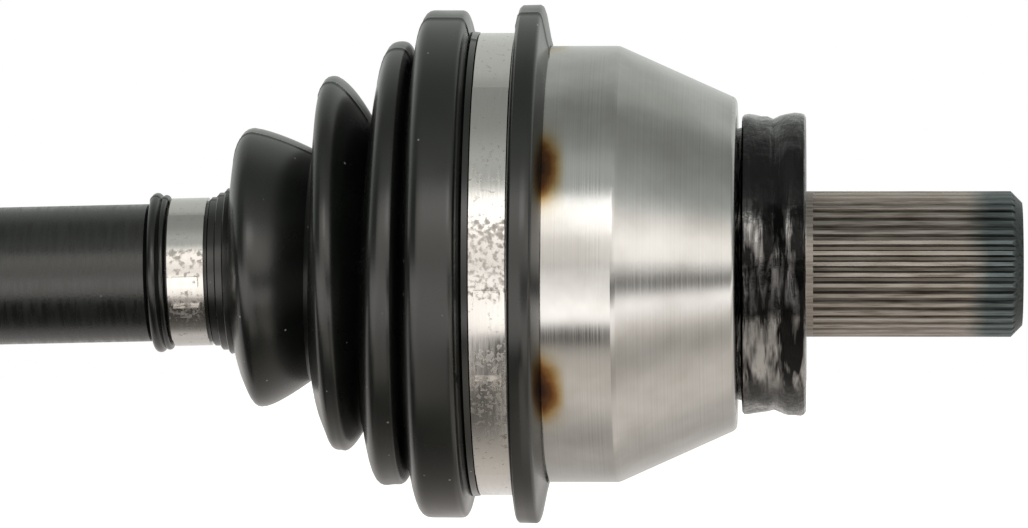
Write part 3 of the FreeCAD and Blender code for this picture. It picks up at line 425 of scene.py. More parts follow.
def feed_marks(tree, along, shader, depth, rough_low, rough_high):
    """Lathe grooves: noise that changes along the axis only, as bump and as changing roughness."""
    lines = add_node(tree, "ShaderNodeTexNoise",
                     {"W": along, "Scale": 1 / FEED_MARK_GAP, "Detail": 4.0, "Roughness": 0.6},
                     noise_dimensions="1D")
    bump = add_node(tree, "ShaderNodeBump", {"Height": lines.outputs[0], "Distance": depth, "Strength": 0.5})
    tree.links.new(bump.outputs[0], shader.inputs["Normal"])
    rough = add_node(tree, "ShaderNodeMapRange", {"Value": lines.outputs[0], "From Min": 0.25,
                     "From Max": 0.75, "To Min": rough_low, "To Max": rough_high})
    tree.links.new(rough.outputs[0], shader.inputs["Roughness"])
    return lines.outputs[0]


turned_steel, tree, shader, place = start_material(
    "turned_carbon_steel", "#B4B4B3", metallic=1.0, roughness=0.2)
round_angle, along = angle_round_axis(tree, place)
marks = feed_marks(tree, along, shader, 0.004 * MM, 0.15, 0.23)
tone = add_node(tree, "ShaderNodeValToRGB", {0: marks}, stops=[(0.3, "#B0B0AF"), (0.7, "#B8B8B7")])
blotch = add_node(tree, "ShaderNodeTexNoise", {"Vector": place, "Scale": 1 / BLOTCH_SIZE, "Detail": 3.0})
soft = add_node(tree, "ShaderNodeValToRGB", {0: blotch.outputs[0]},
                stops=[(0.35, "#EAE9E7"), (0.65, "#FFFFFF")])
skin = add_node(tree, "ShaderNodeMixRGB", {"Fac": 1.0, "Color1": tone.outputs[0], "Color2": soft.outputs[0]},
                blend_type="MULTIPLY")

# %% [markdown]
# The six spots are lobes: a cosine wave round the axis, raised to a power so that each is narrow, that
# fades with the distance from the boot. A little noise makes the edge ragged. Oxide goes from straw through
# brown to a purple black as the steel was hotter.

# %% Heat spots
OXIDE_TONES = [(0.0, "#FFFFFF"), (0.12, "#F6F1E6"), (0.3, "#DCC294"), (0.48, "#AC7F4E"), (0.68, "#765036"),
               (1.0, "#46342D")]
phase = add_node(tree, "ShaderNodeMath", {0: round_angle, 1: math.radians(TRACK_TURN_DEG)},
                 operation="SUBTRACT")
waves = add_node(tree, "ShaderNodeMath", {0: phase.outputs[0], 1: float(TRACKS)}, operation="MULTIPLY")
lobes = add_node(tree, "ShaderNodeMath", {0: waves.outputs[0]}, operation="COSINE")
lobes = add_node(tree, "ShaderNodeMath", {0: lobes.outputs[0], 1: 0.5, 2: 0.5}, operation="MULTIPLY_ADD")
lobes = add_node(tree, "ShaderNodeMath", {0: lobes.outputs[0], 1: TINT_SHARPNESS}, operation="POWER")
near = add_node(tree, "ShaderNodeMapRange", {"Value": along, "From Min": ring_edge,
                "From Max": ring_edge + TINT_REACH, "To Min": 1.0, "To Max": 0.0})
on_bell = add_node(tree, "ShaderNodeMath", {0: along, 1: ring_edge - TINT_REACH}, operation="GREATER_THAN")
near = add_node(tree, "ShaderNodeMath", {0: near.outputs[0], 1: on_bell.outputs[0]}, operation="MULTIPLY")
ragged = add_node(tree, "ShaderNodeTexNoise", {"Vector": place, "Scale": 1 / RAGGED_SIZE, "Detail": 3.0})
shape = add_node(tree, "ShaderNodeMath", {0: ragged.outputs[0], 1: 0.5, 2: 0.75}, operation="MULTIPLY_ADD")
spread = add_node(tree, "ShaderNodeMath", {0: lobes.outputs[0], 1: near.outputs[0]}, operation="MULTIPLY")
spread = add_node(tree, "ShaderNodeMath", {0: spread.outputs[0], 1: shape.outputs[0]}, operation="MULTIPLY")
heat = add_node(tree, "ShaderNodeValToRGB", {0: spread.outputs[0]}, stops=OXIDE_TONES)
print(TRACKS, "heat spots, one at", TRACK_TURN_DEG, "degrees")
tinted = add_node(tree, "ShaderNodeMixRGB",
                  {"Fac": 1.0, "Color1": skin.outputs[0], "Color2": heat.outputs[0]}, blend_type="MULTIPLY")
tree.links.new(tinted.outputs[0], shader.inputs["Base Color"])

# %% [markdown]
# The splines are cold rolled into the stub. Their crests shine, their flanks keep a brown film of oil, and
# the last few millimetres went blue-grey when the end was hardened. Only the place along the axis and the
# height of the tooth are needed, so the film is a ramp on the distance from the axis.

# %% Rolled splines
STUB_LENGTH = cad_high.x
BLUED_END = 10.0 * MM
TOOTH_TIP = 16.125 * MM
TOOTH_HEIGHT = 0.8 * MM
BLUE_FADE = 5 * MM
BLUE_WANDER = 5 * MM
WANDER_SIZE = 6 * MM
ROLLING_LENGTH, ROLLING_WIDTH = 9 * MM, 0.7 * MM
splines, tree, shader, place = start_material("rolled_spline_steel", "#86817B", metallic=1.0, roughness=0.42)
axes = add_node(tree, "ShaderNodeSeparateXYZ", {0: place})
flat = add_node(tree, "ShaderNodeVectorMath", {0: place, 1: (0.0, 1.0, 1.0)}, operation="MULTIPLY")
height = add_node(tree, "ShaderNodeVectorMath", {0: flat.outputs[0]}, operation="LENGTH")
film_and_painted_glint = add_node(tree, "ShaderNodeMapRange", {"Value": height.outputs["Value"],
                "From Min": TOOTH_TIP - TOOTH_HEIGHT, "From Max": TOOTH_TIP})
depth_tone = add_node(tree, "ShaderNodeValToRGB", {0: film_and_painted_glint.outputs[0]},
                      stops=[(0.0, "#6D6862"), (0.5, "#837E78"), (0.9, "#9F9A94")])
wobble = add_node(tree, "ShaderNodeTexNoise", {"Vector": place, "Scale": 1 / WANDER_SIZE, "Detail": 4.0})
edge = add_node(tree, "ShaderNodeMath", {0: wobble.outputs[0], 1: BLUE_WANDER, 2: axes.outputs["X"]},
                operation="MULTIPLY_ADD")
blue = add_node(tree, "ShaderNodeMapRange", {"Value": edge.outputs[0],
                "From Min": STUB_LENGTH - BLUED_END, "From Max": STUB_LENGTH - BLUED_END + BLUE_FADE})
mixed = add_node(tree, "ShaderNodeMixRGB", {"Fac": blue.outputs[0], "Color1": (1, 1, 1, 1),
                 "Color2": hex_colour("#A9C0CC")})
both = add_node(tree, "ShaderNodeMixRGB", {"Fac": 1.0, "Color1": depth_tone.outputs[0],
                "Color2": mixed.outputs[0]}, blend_type="MULTIPLY")
drawn_out = add_node(tree, "ShaderNodeMapping", {"Vector": place, "Scale": (1 / ROLLING_LENGTH,
                     1 / ROLLING_WIDTH, 1 / ROLLING_WIDTH)})
rolling = add_node(tree, "ShaderNodeTexNoise", {"Vector": drawn_out.outputs[0], "Scale": 1.0, "Detail": 4.0})
uneven = add_node(tree, "ShaderNodeValToRGB", {0: rolling.outputs[0]},
                  stops=[(0.32, "#B2ADA7"), (0.62, "#FFFFFF")])
both = add_node(tree, "ShaderNodeMixRGB",
                {"Fac": 1.0, "Color1": both.outputs[0], "Color2": uneven.outputs[0]}, blend_type="MULTIPLY")
tree.links.new(both.outputs[0], shader.inputs["Base Color"])
smear = add_node(tree, "ShaderNodeMapRange", {"Value": rolling.outputs[0], "From Min": 0.3, "From Max": 0.7,
                 "To Min": 0.34, "To Max": 0.58})
tree.links.new(smear.outputs[0], shader.inputs["Roughness"])
bump = add_node(tree, "ShaderNodeBump",
                {"Height": rolling.outputs[0], "Distance": 0.12 * MM, "Strength": 0.5})
tree.links.new(bump.outputs[0], shader.inputs["Normal"])

# %% [markdown]
# The bar is dipped in thin black paint over a turned surface. Paint is not metallic: it is a dark coat that
# gives a broad grey gleam, broken by brush-like marks round the bar and a few pale scuffs.

# %% Black paint
PAINT_IOR = 1.57
BRUSH_WIDTH, BRUSH_LENGTH = 1.1 * MM, 7 * MM
PAINT_GRAIN = 0.5 * MM
SCUFF_SPACING = 7 * MM
paint, tree, shader, place = start_material("black_dip_paint", "#151716", metallic=0.0, roughness=0.3)
shader.inputs["IOR"].default_value = PAINT_IOR
streaks = add_node(tree, "ShaderNodeMapping", {"Vector": place, "Scale": (1 / BRUSH_WIDTH,
                   1 / BRUSH_LENGTH, 1 / BRUSH_LENGTH)})
fibre = add_node(tree, "ShaderNodeTexNoise", {"Vector": streaks.outputs[0], "Scale": 1.0, "Detail": 5.0})
grain = add_node(tree, "ShaderNodeTexNoise", {"Vector": place, "Scale": 1 / PAINT_GRAIN, "Detail": 3.0})
scuff = add_node(tree, "ShaderNodeTexVoronoi", {"Vector": place, "Scale": 1 / SCUFF_SPACING})
spot = add_node(tree, "ShaderNodeMapRange", {"Value": scuff.outputs["Distance"], "From Min": 0.02,
                "From Max": 0.05, "To Min": 1.0, "To Max": 0.0})
coat = add_node(tree, "ShaderNodeValToRGB", {0: fibre.outputs[0]},
                stops=[(0.35, "#101312"), (0.7, "#1B1E1C")])
worn = add_node(tree, "ShaderNodeMixRGB", {"Fac": spot.outputs[0], "Color1": coat.outputs[0],
                "Color2": hex_colour("#7B7B77")})
tree.links.new(worn.outputs[0], shader.inputs["Base Color"])
gleam = add_node(tree, "ShaderNodeMapRange", {"Value": fibre.outputs[0], "From Min": 0.3, "From Max": 0.7,
                 "To Min": 0.2, "To Max": 0.36})
tree.links.new(gleam.outputs[0], shader.inputs["Roughness"])
relief = add_node(tree, "ShaderNodeMath", {0: fibre.outputs[0], 1: grain.outputs[0]}, operation="ADD")
bump = add_node(tree, "ShaderNodeBump", {"Height": relief.outputs[0], "Distance": 0.05 * MM, "Strength": 0.6})
tree.links.new(bump.outputs[0], shader.inputs["Normal"])

# %% [markdown]
# The boots are moulded from a rubbery thermoplastic: near black with a green-grey cast, a satin skin from
# the mould, and lint that sticks to it. Dark, rough and not metallic, with specks from a cell pattern.

# %% Boot rubber
RUBBER_TONES = [(0.3, "#0A0D0B"), (0.7, "#101411")]
RUBBER_IOR = 1.56
CLOUD_SIZE = 18 * MM
LINT_SPACING = 4.5 * MM
SKIN_GRAIN = 0.7 * MM
rubber, tree, shader, place = start_material("moulded_boot_rubber", "#0D100E", metallic=0.0, roughness=0.32)
shader.inputs["IOR"].default_value = RUBBER_IOR
cloud = add_node(tree, "ShaderNodeTexNoise", {"Vector": place, "Scale": 1 / CLOUD_SIZE, "Detail": 3.0})
body_tone = add_node(tree, "ShaderNodeValToRGB", {0: cloud.outputs[0]}, stops=RUBBER_TONES)
lint = add_node(tree, "ShaderNodeTexVoronoi", {"Vector": place, "Scale": 1 / LINT_SPACING})
speck = add_node(tree, "ShaderNodeMapRange", {"Value": lint.outputs["Distance"], "From Min": 0.03,
                 "From Max": 0.07, "To Min": 0.75, "To Max": 0.0})
chance = add_node(tree, "ShaderNodeSeparateColor", {0: lint.outputs["Color"]})
kept = add_node(tree, "ShaderNodeMath", {0: chance.outputs["Red"], 1: 0.6}, operation="GREATER_THAN")
speck = add_node(tree, "ShaderNodeMath", {0: speck.outputs[0], 1: kept.outputs[0]}, operation="MULTIPLY")
dusty = add_node(tree, "ShaderNodeMixRGB", {"Fac": speck.outputs[0], "Color1": body_tone.outputs[0],
                 "Color2": hex_colour("#A9ADA8")})
tree.links.new(dusty.outputs[0], shader.inputs["Base Color"])
satin = add_node(tree, "ShaderNodeMapRange", {"Value": cloud.outputs[0], "From Min": 0.3, "From Max": 0.7,
                 "To Min": 0.21, "To Max": 0.34})
tree.links.new(satin.outputs[0], shader.inputs["Roughness"])
skin_grain = add_node(tree, "ShaderNodeTexNoise", {"Vector": place, "Scale": 1 / SKIN_GRAIN, "Detail": 2.0})
bump = add_node(tree, "ShaderNodeBump",
                {"Height": skin_grain.outputs[0], "Distance": 0.015 * MM, "Strength": 0.4})
tree.links.new(bump.outputs[0], shader.inputs["Normal"])

# %% [markdown]
# The clamps are stainless strip, rolled bright. Hands and pliers left dull speckles on the side that was
# worked on, and hair scratches run round the band. A speckle is rough, so it looks dark where the strip
# mirrors the panel and pale where it mirrors the dark floor. How many speckles there are changes with the
# angle.

# %% Clamp strip
SPECKLED_DEG = [(0, 0.09), (2, 0.11), (10, 0.12), (13, -0.06), (19, 0.0), (25, 0.02), (29, -0.06),
                (150, -0.03), (205, -0.03), (270, -0.08), (306, -0.06), (313, 0.05), (338, 0.06),
                (341, -0.06), (350, -0.03), (353, 0.09)]
SCRATCH_WIDTH, SCRATCH_LENGTH = 0.5 * MM, 5 * MM
SPECKLE_SIZE = 1.15 * MM
strip, tree, shader, place = start_material("rolled_stainless_strip", "#C3C1BE", metallic=1.0, roughness=0.17)
round_angle, _ = angle_round_axis(tree, place)
share = add_node(tree, "ShaderNodeMath", {0: round_angle, 1: math.tau}, operation="DIVIDE")
share = add_node(tree, "ShaderNodeMath", {0: share.outputs[0]}, operation="FRACT")
worked = add_node(tree, "ShaderNodeValToRGB", {0: share.outputs[0]},
                  stops=[(degrees / 360, (*[0.5 + more] * 3, 1.0)) for degrees, more in SPECKLED_DEG])
scratch = add_node(tree, "ShaderNodeMapping", {"Vector": place, "Scale": (1 / SCRATCH_WIDTH,
                   1 / SCRATCH_LENGTH, 1 / SCRATCH_LENGTH)})
lines = add_node(tree, "ShaderNodeTexNoise", {"Vector": scratch.outputs[0], "Scale": 1.0, "Detail": 4.0})
mottle = add_node(tree, "ShaderNodeTexNoise", {"Vector": place, "Scale": 1 / SPECKLE_SIZE, "Detail": 4.0,
                  "Roughness": 0.55})
stain = add_node(tree, "ShaderNodeMath", {0: mottle.outputs[0], 1: worked.outputs[0]}, operation="ADD")
dirt = add_node(tree, "ShaderNodeMapRange", {"Value": stain.outputs[0], "From Min": 1.06, "From Max": 1.2})
metal_tone = add_node(tree, "ShaderNodeMixRGB", {"Fac": dirt.outputs[0], "Color1": hex_colour("#C3C1BE"),
                      "Color2": hex_colour("#A29F9B")})
tree.links.new(metal_tone.outputs[0], shader.inputs["Base Color"])
clean_dull = add_node(tree, "ShaderNodeMapRange", {"Value": lines.outputs[0], "From Min": 0.3,
                      "From Max": 0.7, "To Min": 0.12, "To Max": 0.24})
dull = add_node(tree, "ShaderNodeMath", {0: dirt.outputs[0], 1: 0.34, 2: clean_dull.outputs[0]},
                operation="MULTIPLY_ADD")
tree.links.new(dull.outputs[0], shader.inputs["Roughness"])
dents = add_node(tree, "ShaderNodeMath", {0: dirt.outputs[0], 1: 0.4, 2: lines.outputs[0]},
                 operation="MULTIPLY_ADD")
bump = add_node(tree, "ShaderNodeBump", {"Height": dents.outputs[0], "Distance": 0.02 * MM, "Strength": 0.5})
tree.links.new(bump.outputs[0], shader.inputs["Normal"])

# %% [markdown]
# Grease lies thick on the seal ring behind the hub shoulder. Joint grease is full of molybdenum flakes, so
# it is black with a metal's gleam, and it works best as a metal whose colour is very dark. A thumb ran
# round the ring and left it in strokes, and their gleam is painted: bright streaks in the strokes are painted
# highlight, the dark grease between is painted shade. A stroke is a band along the axis, and two ramps paint
# both tones at each angle round the ring.

# %% Moly grease
# Painted shade and painted highlight: the dark tone and the bright streak tone of the grease, by angle round
# the ring.
PAINTED_DARK_DEG = [(0, "#181818"), (20, "#1C1C1C"), (24, "#2E2E2E"), (70, "#313131"), (120, "#2A2A2A"),
             (180, "#202020"), (250, "#2A2A2A"), (302, "#3A3A3A"), (312, "#1E1E1E"), (337, "#1A1A1A"),
             (342, "#101010")]
PAINTED_GLINT_DEG = [(0, "#5A5958"), (3, "#7D7C7B"), (18, "#777675"), (23, "#353535"), (70, "#383838"),
            (150, "#6E6D6C"), (200, "#3C3C3C"), (262, "#8C8B8A"), (300, "#484747"), (311, "#989796"),
            (337, "#8C8B8A"), (341, "#262626"), (352, "#4E4D4D")]
STROKE_WIDTH = 2.6 * MM
STROKE_LENGTH = 17.0 * MM
DAB_SIZE = 4.5 * MM
STROKE_TEAR = 0.3
grease, tree, shader, place = start_material("wet_moly_grease", "#202020", metallic=1.0, roughness=0.16)
ragged = add_node(tree, "ShaderNodeTexNoise", {"Vector": place, "Scale": 1 / DAB_SIZE, "Detail": 4.0})
round_angle, _ = angle_round_axis(tree, place)
torn = add_node(tree, "ShaderNodeMath", {0: ragged.outputs[0], 1: STROKE_TEAR, 2: round_angle},
                operation="MULTIPLY_ADD")
torn = add_node(tree, "ShaderNodeMath", {0: torn.outputs[0], 1: STROKE_TEAR / 2}, operation="SUBTRACT")
share = add_node(tree, "ShaderNodeMath", {0: torn.outputs[0], 1: math.tau}, operation="DIVIDE")
share = add_node(tree, "ShaderNodeMath", {0: share.outputs[0]}, operation="FRACT")
painted_dark, painted_glint = (
    add_node(tree, "ShaderNodeValToRGB", {0: share.outputs[0]},
             stops=[(degrees / 360, code) for degrees, code in tones]).outputs[0]
    for tones in (PAINTED_DARK_DEG, PAINTED_GLINT_DEG))
pulled = add_node(tree, "ShaderNodeMapping", {"Vector": place, "Scale": (1 / STROKE_WIDTH, 1 / STROKE_LENGTH,
                  1 / STROKE_LENGTH)})
strokes = add_node(tree, "ShaderNodeTexNoise", {"Vector": pulled.outputs[0], "Scale": 1.0, "Detail": 3.0,
                   "Roughness": 0.6, "Distortion": 0.25})
painted_glint_mask = add_node(tree, "ShaderNodeMapRange",
                  {"Value": strokes.outputs[0], "From Min": 0.46, "From Max": 0.62})
# Painted highlight: the bright tone fills the strokes, and the painted dark tone lies between.
film_and_painted_glint = add_node(tree, "ShaderNodeMixRGB", {"Fac": painted_glint_mask.outputs[0], "Color1": painted_dark, "Color2": painted_glint})
tree.links.new(film_and_painted_glint.outputs[0], shader.inputs["Base Color"])
wet = add_node(tree, "ShaderNodeMapRange", {"Value": ragged.outputs[0], "From Min": 0.35, "From Max": 0.65,
               "To Min": 0.1, "To Max": 0.26})
tree.links.new(wet.outputs[0], shader.inputs["Roughness"])
relief = add_node(tree, "ShaderNodeMath", {0: strokes.outputs[0], 1: 2.0, 2: ragged.outputs[0]},
                  operation="MULTIPLY_ADD")
bump = add_node(tree, "ShaderNodeBump", {"Height": relief.outputs[0], "Distance": 0.5 * MM, "Strength": 0.7})
tree.links.new(bump.outputs[0], shader.inputs["Normal"])

# %% [markdown]
# Inside the joints the steel is hardened and ground. Balls, rollers and needles are near mirrors, the race,
# cage and spider are satin grey with a thin oil film, and the spring rings are dark tempered wire.

# %% Ground, hardened and tempered steel
# Each has its colour, how rough it is where clean and where oily, and the size of the oil's clouds.
STEELS = {
    "ground_bearing_steel": ("#C9C9CA", 0.09, 0.2, 9 * MM),
    "hardened_satin_steel": ("#8D8C8A", 0.28, 0.45, 5 * MM),
    "tempered_spring_steel": ("#5C5B5C", 0.3, 0.42, 4 * MM),
}
GRINDING_GRAIN = 0.4 * MM
steels = {}
for name, (colour_code, smooth, dull_end, cloud_size) in STEELS.items():
    made, tree, shader, place = start_material(name, colour_code, metallic=1.0, roughness=smooth)
    clouds = add_node(tree, "ShaderNodeTexNoise", {"Vector": place, "Scale": 1 / cloud_size, "Detail": 5.0})
    oil = add_node(tree, "ShaderNodeMapRange", {"Value": clouds.outputs[0], "From Min": 0.3, "From Max": 0.7,
                   "To Min": smooth, "To Max": dull_end})
    tree.links.new(oil.outputs[0], shader.inputs["Roughness"])
    fine = add_node(tree, "ShaderNodeTexNoise", {"Vector": place, "Scale": 1 / GRINDING_GRAIN, "Detail": 2.0})
    bump = add_node(tree, "ShaderNodeBump",
                    {"Height": fine.outputs[0], "Distance": 0.004 * MM, "Strength": 0.4})
    tree.links.new(bump.outputs[0], shader.inputs["Normal"])
    steels[name] = made

# %% [markdown]
# The gearbox end is a forging: the housing keeps its dark scaly skin, and only the seal journal and the
# stub are machined. The scale is a warm dark grey, rough, with a pitted surface.

# %% Forged skin
PIT_SIZE = 1.6 * MM
forging, tree, shader, place = start_material("forged_steel_skin", "#5A5855", metallic=0.85, roughness=0.5)
pits = add_node(tree, "ShaderNodeTexNoise", {"Vector": place, "Scale": 1 / PIT_SIZE, "Detail": 6.0})
scale_tone = add_node(tree, "ShaderNodeValToRGB", {0: pits.outputs[0]},
                      stops=[(0.35, "#4B4946"), (0.65, "#6E6B67")])
tree.links.new(scale_tone.outputs[0], shader.inputs["Base Color"])
dry = add_node(tree, "ShaderNodeMapRange", {"Value": pits.outputs[0], "To Min": 0.36, "To Max": 0.62})
tree.links.new(dry.outputs[0], shader.inputs["Roughness"])
bump = add_node(tree, "ShaderNodeBump", {"Height": pits.outputs[0], "Distance": 0.08 * MM, "Strength": 0.6})
tree.links.new(bump.outputs[0], shader.inputs["Normal"])


# %% [markdown]
# ## Dressing the rigid pieces
# The rigid pieces already have the right shape, so they only get their finish. The bell and the tulip carry
# two or three finishes each. A face's material is chosen by where it lies along the axis.

# %% Finishes on the rigid pieces
def dress(name, *finishes):
    """Gives a rigid piece its finishes, each (material, rule), where the last rule that fits a face wins."""
    mesh = nodes[name].data
    mesh.materials.clear()
    for material, _ in finishes:
        mesh.materials.append(material)
    for face in mesh.polygons:
        for number, (_, rule) in enumerate(finishes):
            if rule(face.center):
                face.material_index = number
    print(name, "is", " and ".join(material.name for material, _ in finishes))


def everywhere(place):
    """The rule that every face fits."""
    return True


HAIR = 0.01 * MM
JOURNAL_START = -59.93 * MM
SPLINE_START = -79.93 * MM


def along_bar(place):
    """How far a place lies from the gearbox joint's centre along the bar, negative on the gearbox side."""
    return (place - gearbox_centre).dot(bar_line)


dress("wheel_bell", (turned_steel, everywhere), (splines, lambda place: place.x > HAIR))
dress("tulip", (forging, everywhere), (turned_steel, lambda place: along_bar(place) < JOURNAL_START + HAIR),
      (splines, lambda place: along_bar(place) < SPLINE_START - HAIR))
dress("shaft_bar", (paint, everywhere))
for name in nodes:
    if "clamp" in name:
        dress(name, (strip, everywhere))
    elif name.startswith(("ball_", "needles", "roller")) and name != "ball_cage":
        dress(name, (steels["ground_bearing_steel"], everywhere))
    elif name.endswith(("circlip", "snap_ring")):
        dress(name, (steels["tempered_spring_steel"], everywhere))
    elif name in ("ball_cage", "inner_race", "spider"):
        dress(name, (steels["hardened_satin_steel"], everywhere))


# %% [markdown]
# ## Spinning a round piece
# A boot is a long outline turned about an axis. The outline is drawn as by hand: one vertex, extruded from
# point to point beside the axis, and then spun a full turn. The seam closes when doubles are merged.

# %% Drawing and spinning
SPIN_STEPS = 144
MERGE = 0.002 * MM
SHARP_DEG = 40


def drawn_and_spun(name, outline, start_angle=0.0, closed=False):
    """Spins an outline of (x, radius) points in millimetres about the X axis."""
    clear_selection()
    bpy.ops.mesh.primitive_plane_add(size=MM)
    piece = bpy.context.object
    piece.name = name
    piece.data.name = name
    bpy.ops.object.mode_set(mode="EDIT")
    bpy.ops.mesh.select_all(action="SELECT")
    bpy.ops.mesh.merge(type="CENTER")
    out = Vector((0, -math.sin(start_angle), math.cos(start_angle)))
    points = [(ALONG_BELL * x + out * radius) * MM for x, radius in outline]
    bpy.ops.transform.translate(value=points[0])
    for here, there in zip(points, points[1:]):
        bpy.ops.mesh.extrude_region_move(TRANSFORM_OT_translate={"value": there - here})
    if closed:
        ends = (points[0], points[-1])
        pick_vertices(piece, lambda place: min((place - end).length for end in ends) < MERGE)
        bpy.ops.mesh.edge_face_add()
    bpy.ops.mesh.select_all(action="SELECT")
    bpy.ops.mesh.spin(steps=SPIN_STEPS, angle=math.tau, center=(0, 0, 0), axis=(1, 0, 0))
    bpy.ops.mesh.select_all(action="SELECT")
    bpy.ops.mesh.remove_doubles(threshold=MERGE)
    bpy.ops.mesh.normals_make_consistent(inside=False)
    bpy.ops.object.mode_set(mode="OBJECT")
    bpy.ops.object.shade_smooth_by_angle(angle=math.radians(SHARP_DEG))
    print(name, len(piece.data.polygons), "faces")
    return piece


# %% [markdown]
# ## Wheel boot
# Four folds grow from the bar to the bell. No two are alike: each has a steep side and a gentle one. A
# crest that falls away as a power of the distance gives both, a high power for a square shoulder and a low
# one for a slope, so each fold needs only its feet, its crest and two powers.

# %% The folds' outline
FOLD_POINTS = 12


class Fold:
    """A fold of a boot: places along the axis and radii in millimetres, and how square each side is."""

    def __init__(self, foot, crest, end, rise, fall):
        self.foot = foot
        self.crest = crest
        self.end = end
        self.rise = rise
        self.fall = fall

    def side(self, low, high, power):
        """Points from the crest's edge at high down to the foot at low."""
        (low_x, low_r), (high_x, high_r) = low, high
        points = []
        for step in range(FOLD_POINTS + 1):
            share = math.sin(math.pi / 2 * step / FOLD_POINTS)
            points.append((high_x + (low_x - high_x) * share, high_r - (high_r - low_r) * share ** power))
        return points

    def outline(self):
        """All the fold's points, from its foot over the crest to its end."""
        crest_low, crest_high, radius = self.crest
        left = self.side(self.foot, (crest_low, radius), self.rise)
        right = self.side(self.end, (crest_high, radius), self.fall)
        return left[::-1] + right[crest_low == crest_high:]


WHEEL_FOLDS = [
    Fold(foot=(-127.1, 18.2), crest=(-121.7, -121.2, 30.95), end=(-109.6, 25.7), rise=2.7, fall=1.3),
    Fold(foot=(-108.6, 26.4), crest=(-104.0, -103.5, 41.6), end=(-97.0, 34.1), rise=3.4, fall=1.6),
    Fold(foot=(-96.6, 35.1), crest=(-91.2, -90.4, 49.25), end=(-87.3, 46.0), rise=3.3, fall=3.5),
    Fold(foot=(-86.9, 45.6), crest=(-81.7, -76.9, 56.35), end=(-74.0, 51.8), rise=4.0, fall=4.4),
]
print("crests", [fold.crest[2] for fold in WHEEL_FOLDS], "mm from the axis")

# %% [markdown]
# At the bar the boot ends in a collar with a bead and a ridge, a flat for the clamp and three small steps.
# The clamp's place is read from the frame, so the collar fits under it.

# %% The collar's outline
BEAD_RADIUS, BEAD_WIDTH = 17.75, 4.0
BEAD_SHARE, RIDGE_SHARE = 0.3, 0.19
RIDGE_DROP = 0.5
COLLAR_FLAT_RADIUS = 15.6
STEP_WIDTH, STEP_RISE, STEPS = 1.75, 0.95, 3
bar_clamp_low, bar_clamp_high = (corner.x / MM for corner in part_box("wheel_boot_small_clamp"))
print("small clamp", round(bar_clamp_high - bar_clamp_low, 1), "mm wide")


def arc(centre_x, centre_r, radius, start_deg, end_deg, parts):
    """Points on an arc in the outline's plane, in degrees from +X towards larger radii."""
    turns = [math.radians(start_deg + (end_deg - start_deg) * k / parts) for k in range(parts + 1)]
    return [(centre_x + radius * math.cos(t), centre_r + radius * math.sin(t)) for t in turns]


def collar_outline(clamp_low, clamp_high):
    """From the bar, over the bead, along the clamp's flat and up the steps."""
    bead_start = clamp_low - BEAD_WIDTH - 0.2
    bead_round = BEAD_SHARE * BEAD_WIDTH
    ridge_round = RIDGE_SHARE * BEAD_WIDTH
    ridge_middle = bead_start + 2 * bead_round + ridge_round
    points = [(bead_start, COLLAR_FLAT_RADIUS - 1.4)]
    points += arc(bead_start + bead_round, BEAD_RADIUS - bead_round, bead_round, 180, 25, 12)
    points += arc(ridge_middle, BEAD_RADIUS - RIDGE_DROP - ridge_round, ridge_round, 150, 0, 8)
    points.append((clamp_low - 0.1, COLLAR_FLAT_RADIUS))
    start = clamp_high + 0.2
    for step in range(STEPS):
        radius = COLLAR_FLAT_RADIUS + (step + 1) * STEP_RISE
        points += [(start + 0.05, radius - STEP_RISE), (start + 0.15, radius - 0.25), (start + 0.4, radius)]
        start += STEP_WIDTH
    return points


# %% [markdown]
# At the bell the boot ends in a flat that the wide clamp presses on, and a thick flange with a bevelled
# face. Its points are counted from the clamp's two edges, and the last one lies on the bell's seat.

# %% The flange's outline
FLANGE_TOP = 57.55
CUFF_FLAT_RADIUS = 50.45
SEAT_RADIUS = 47.35
bell_clamp_low, bell_clamp_high = (corner.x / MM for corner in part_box("wheel_boot_large_clamp"))
print("large clamp", round(bell_clamp_high - bell_clamp_low, 1), "mm wide")


def flange_outline(clamp_low, clamp_high):
    """Under the wide clamp and round the flange down to the bell."""
    base = clamp_high + 0.15
    return [
        (clamp_low - 1.75, CUFF_FLAT_RADIUS + 0.7),
        (clamp_low - 1.55, CUFF_FLAT_RADIUS + 1.2),
        (clamp_low - 0.3, CUFF_FLAT_RADIUS + 1.0),
        (clamp_low - 0.05, CUFF_FLAT_RADIUS + 0.3),
        (clamp_low + 0.3, CUFF_FLAT_RADIUS),
        (clamp_high - 0.2, CUFF_FLAT_RADIUS),
        (base, CUFF_FLAT_RADIUS + 0.2),
        (base + 0.15, 54.6),
        (base + 0.6, 57.0),
        (base + 1.1, FLANGE_TOP - 0.1),
        (base + 3.0, FLANGE_TOP - 0.05),
        (base + 4.9, FLANGE_TOP),
        (base + 5.4, FLANGE_TOP - 0.35),
        (base + 5.75, FLANGE_TOP - 1.3),
        (base + 6.7, 51.4),
        (base + 7.2, 49.4),
        (base + 7.3, SEAT_RADIUS),
    ]


# %% [markdown]
# A stretched boot never sits straight: each fold leans, and the middle wanders from the drooping bar to the
# bell. The spun mesh is straight, so its points are then moved: pushed along the axis in proportion to
# their height, which tilts each ring, and shifted up or down.

# %% Spin the boot and lean its folds
PARTING_DEG = 16.7
